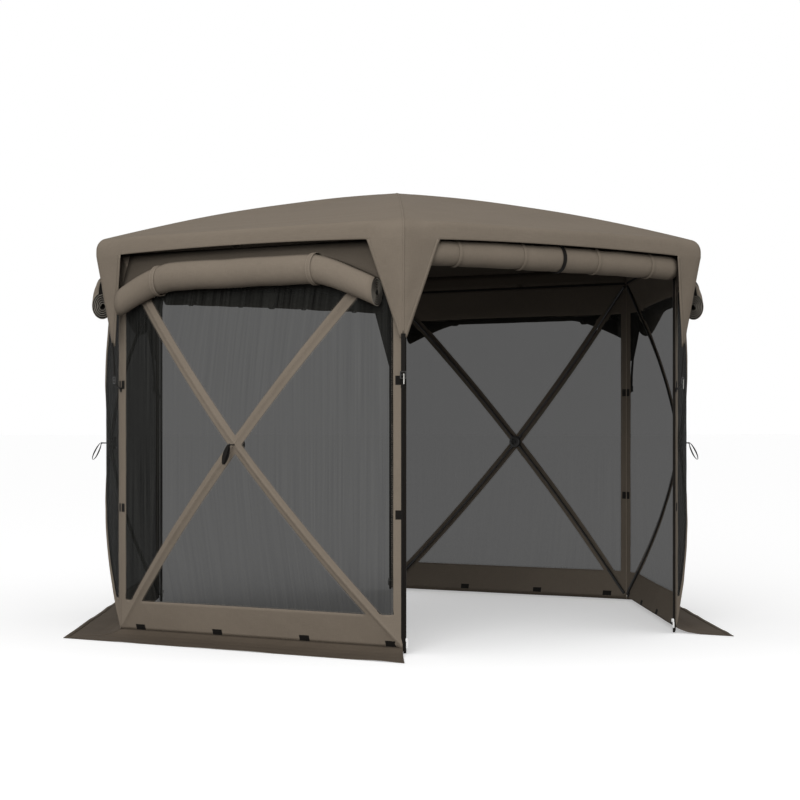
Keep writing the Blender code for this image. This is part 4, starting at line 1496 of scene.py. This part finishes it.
def make_pull_loop(name, turn):
    """The pin outside a wall's hub and the webbing loop that hangs from its end."""
    loop = Pattern()
    start = outside(0, HUB_BULGE + 0.0012, HUB_HEIGHT)
    end = start + FRONT * (PIN_LENGTH + 0.0004)
    pin = [(start.lerp(end, share), None) for share in (0, 0.5, 1)]
    add_section(loop, pin, round_section(0.0034, 10), 1)
    washer = [(0.0, 0.6), (0.0, 1.0), (0.0016, 1.0), (0.0022, 0.7)]
    add_turned(loop, start, FRONT, washer, 0.009, 1, 20)
    add_turned(loop, end - FRONT * 0.006, FRONT, washer, 0.006, 1, 14)
    down = Vector((0, -math.sin(LOOP_LEAN), -math.cos(LOOP_LEAN)))
    across = Vector((0, -math.cos(LOOP_LEAN), math.sin(LOOP_LEAN)))
    path = []
    widths = []
    for angle in around(40):
        share = 0.5 * (1 - math.cos(angle))
        half = LOOP_TOP_HALF + (LOOP_LOW_HALF - LOOP_TOP_HALF) * share
        place = end + down * LOOP_LENGTH * share + across * math.sin(angle) * half
        path.append((place, across * math.sin(angle) - down * math.cos(angle)))
        widths.append(0.40 + 0.75 * math.sin(math.pi * (0.08 + 0.84 * share)) ** 1.2)
    add_section(loop, path, flat_section(0.021, 0.0040), 0, closed=True, radii=widths)
    return loop.sew(f"hub_loop_{name}", ("nylon_webbing", "moulded_nylon"), turn)


# Operators


class GAZEBO_OT_stage(Operator):
    """Set up the camera, the pale floor and the soft studio light"""

    bl_idname = "gazebo.stage"
    bl_label = "Stage"

    def execute(self, context):
        settings = context.scene.gazebo_stage
        context.scene.view_settings.view_transform = "Standard"
        camera = link(bpy.data.objects.new("camera", bpy.data.cameras.new("camera")))
        camera.location = (-4.827, -8.006, 1.007)
        way = Vector((0.5182, 0.8553, 0.0))
        camera.rotation_euler = way.to_track_quat("-Z", "Y").to_euler()
        camera.data.lens = settings.lens
        camera.data.sensor_width = 36
        camera.data.shift_y = 0.0404
        camera.data.clip_end = 2000
        context.scene.camera = camera
        # Lit from below like a light table, so that only soft shadows show on it
        glow = {"Emission_Color": (1.0, 1.0, 1.0, 1.0), "Emission_Strength": settings.floor_glow}
        paper = new_material("studio_floor", srgb("#E7E7E7"), 0.9, Specular_IOR_Level=0, **glow)
        MATERIALS["studio_floor"] = paper
        floor = Pattern()
        size = 600.0
        rows = [[Vector((x, y, -0.001)) for x in (-size, size)] for y in (-size, size)]
        floor.add(rows, [[(0, 0), (1, 0)], [(0, 1), (1, 1)]])
        ground = floor.sew("studio_floor", ("studio_floor",))
        ground.visible_diffuse = False
        light = bpy.data.lights.new("softbox", "AREA")
        light.energy = settings.softbox
        light.shape = "DISK"
        light.size = 5.0
        lamp = link(bpy.data.objects.new("softbox", light))
        lamp.location = (-6.4, -7.2, 3.7)
        aim = Vector((-0.4, -0.8, 1.0)) - lamp.location
        lamp.rotation_euler = aim.to_track_quat("-Z", "Y").to_euler()
        self.light_sky(context, settings.sky)
        return {"FINISHED"}

    def light_sky(self, context, strength):
        """Even light from the upper half, a little weaker overhead, and little from below."""
        world = bpy.data.worlds.new("studio")
        world.use_nodes = True
        context.scene.world = world
        tree = world.node_tree
        way = wire(tree, "ShaderNodeTexCoord", output="Generated")
        height = wire(tree, "ShaderNodeSeparateXYZ", {"Vector": way}, "Z")
        rising = part_way(tree, height, -0.08, -0.006)
        sky = blend(tree, rising, (0.18, 0.18, 0.18, 1.0), (1.0, 1.0, 1.0, 1.0))
        sky = blend(tree, part_way(tree, height, 0.35, 0.80), sky, (0.66, 0.66, 0.66, 1.0))
        back = tree.nodes["Background"]
        tree.links.new(sky, back.inputs["Color"])
        back.inputs["Strength"].default_value = strength


class GAZEBO_OT_canopy(Operator):
    """Sew the canopy with its valance and corner flaps"""

    bl_idname = "gazebo.canopy"
    bl_label = "Canopy"

    def execute(self, context):
        canopy = finish_piece(sew_canopy(), "taupe_cloth", "roof_canopy")
        return {"FINISHED"}


class GAZEBO_OT_rods(Operator):
    """Make the rods and hubs of the roof and the walls"""

    bl_idname = "gazebo.rods"
    bl_label = "Rods and hubs"

    def execute(self, context):
        finish_piece(make_roof_frame(), "black_rod", "roof_frame")
        for name, turn in WALLS.items():
            finish_piece(make_wall_frame(name, turn), "black_rod", f"wall_frame_{name}")
        return {"FINISHED"}


class GAZEBO_OT_walls(Operator):
    """Sew the wall bands, mesh screens and tabs"""

    bl_idname = "gazebo.walls"
    bl_label = "Walls"

    def execute(self, context):
        for name, turn in WALLS.items():
            border = finish_piece(sew_border(name, turn), "taupe_cloth", f"wall_border_{name}")
            screen = finish_piece(sew_screen(name, turn), "dark_mesh", f"wall_screen_{name}")
            finish_piece(sew_tabs(name, turn), "black_webbing")
            finish_piece(sew_trims(name, turn), "black_webbing")
        return {"FINISHED"}


class GAZEBO_OT_skirts(Operator):
    """Sew the ground skirts"""

    bl_idname = "gazebo.skirts"
    bl_label = "Ground skirts"

    def execute(self, context):
        for name, turn in WALLS.items():
            skirt = finish_piece(sew_skirt(name, turn), "taupe_cloth", f"ground_skirt_{name}")
        return {"FINISHED"}


class GAZEBO_OT_wind_panels(Operator):
    """Roll up the wind panels and tie them"""

    bl_idname = "gazebo.wind_panels"
    bl_label = "Wind panels"

    def execute(self, context):
        tree = roll_tree()
        for name, turn in WALLS.items():
            roll = wind_roll(name, turn, tree)
            finish_piece(roll, "taupe_cloth", f"wind_panel_roll_{name}")
            drop = finish_piece(sew_roll_drop(name, turn), "taupe_cloth")
            ties = finish_piece(add_ties(name, turn), "taupe_cloth")
        return {"FINISHED"}


class GAZEBO_OT_doors(Operator):
    """Roll up the doors, strap them and sew the strips over the doorways"""

    bl_idname = "gazebo.doors"
    bl_label = "Doors"

    def execute(self, context):
        tree = roll_tree()
        for name, (turn, _) in DOORWAYS.items():
            header = finish_piece(sew_header(name, turn), "taupe_cloth", f"door_header_{name}")
            roll = finish_piece(door_roll(name, turn, tree), "taupe_cloth", f"door_roll_{name}")
            straps = finish_piece(add_door_straps(name, turn), "taupe_cloth")
        return {"FINISHED"}


class GAZEBO_OT_zips(Operator):
    """Sew the zip tapes with their elements and hang the sliders"""

    bl_idname = "gazebo.zips"
    bl_label = "Zips"

    def execute(self, context):
        tree = repeat_tree("zip_elements", stitch=False)
        values = {
            "Pitch": context.scene.gazebo_trim.zip_pitch,
            "Radius": 0.0014,
            "Length": 0.75,
            "Material": material("moulded_nylon"),
        }
        for turn, corners in DOORWAYS.values():
            for side, corner in zip((-1, 1), corners):
                jamb = sew_jamb(corner, side, turn)
                finish_piece(jamb, "black_webbing", f"door_jamb_{corner}")
                coil = plain_mesh([zip_line(side, turn)], tree, values, f"zip_coil_{corner}")
                finish_piece(coil, "black_webbing")
                slider = cast_slider(corner, side, turn)
                body = f"{corner}_zip_slider"
                finish_piece(slider, "zip_metal", f"zip_slider_{corner}", body=body)
        return {"FINISHED"}


class GAZEBO_OT_straps(Operator):
    """Hang the corner straps with their buckles and the loops of the wall hubs"""

    bl_idname = "gazebo.straps"
    bl_label = "Straps and loops"

    def execute(self, context):
        for name, angle in CORNERS.items():
            finish_piece(make_strap(name, angle), "black_webbing", f"corner_strap_{name}")
        for name, turn in WALLS.items():
            finish_piece(make_pull_loop(name, turn), "black_webbing", f"pull_loop_{name}")
        return {"FINISHED"}


class GAZEBO_OT_stitching(Operator):
    """Stitch the seams of the canopy and the walls"""

    bl_idname = "gazebo.stitching"
    bl_label = "Stitching"

    def execute(self, context):
        tree = repeat_tree("seam_stitches", stitch=True)
        pitch = context.scene.gazebo_trim.stitch_pitch
        values = {
            "Pitch": pitch,
            "Radius": 0.0006,
            "Length": pitch * 0.62,
            "Material": material("thread"),
        }
        groups = {f"wall_stitches_{name}": window_lines(turn) for name, turn in WALLS.items()}
        groups["canopy_stitches"] = valance_lines()
        for name, lines in groups.items():
            finish_piece(plain_mesh(lines, tree, values, name), "taupe_cloth")
        return {"FINISHED"}


STEPS = (
    GAZEBO_OT_stage,
    GAZEBO_OT_canopy,
    GAZEBO_OT_rods,
    GAZEBO_OT_walls,
    GAZEBO_OT_skirts,
    GAZEBO_OT_wind_panels,
    GAZEBO_OT_doors,
    GAZEBO_OT_zips,
    GAZEBO_OT_straps,
    GAZEBO_OT_stitching,
)


SETTINGS = {
    "gazebo_cloth": GazeboCloth,
    "gazebo_rolls": GazeboRolls,
    "gazebo_trim": GazeboTrim,
    "gazebo_stage": GazeboStage,
}


class GAZEBO_PT_sidebar(Panel):
    """Lists the gazebo's sizes, colours and steps"""

    bl_label = "Screen Gazebo"
    bl_space_type = "VIEW_3D"
    bl_region_type = "UI"
    bl_category = "Gazebo"

    def draw(self, context):
        for group in SETTINGS:
            box = self.layout.box()
            values = getattr(context.scene, group)
            for name in values.bl_rna.properties.keys():
                if name not in ("rna_type", "name"):
                    box.prop(values, name)
        for step in STEPS:
            self.layout.operator(step.bl_idname)


def register():
    """Registers the settings, the operators and the panel."""
    for name, group in SETTINGS.items():
        bpy.utils.register_class(group)
        setattr(bpy.types.Scene, name, PointerProperty(type=group))
    for step in STEPS:
        bpy.utils.register_class(step)
    bpy.utils.register_class(GAZEBO_PT_sidebar)


def unregister():
    """Removes them again."""
    bpy.utils.unregister_class(GAZEBO_PT_sidebar)
    for step in reversed(STEPS):
        bpy.utils.unregister_class(step)
    for name, group in SETTINGS.items():
        delattr(bpy.types.Scene, name)
        bpy.utils.unregister_class(group)


def main():
    """Makes the whole gazebo."""
    register()
    for step in STEPS:
        name = step.bl_idname.split(".")[1]
        result = getattr(bpy.ops.gazebo, name)()
        if result != {"FINISHED"}:
            raise RuntimeError(f"{step.bl_label} didn't finish")


if __name__ == "__main__":
    main()
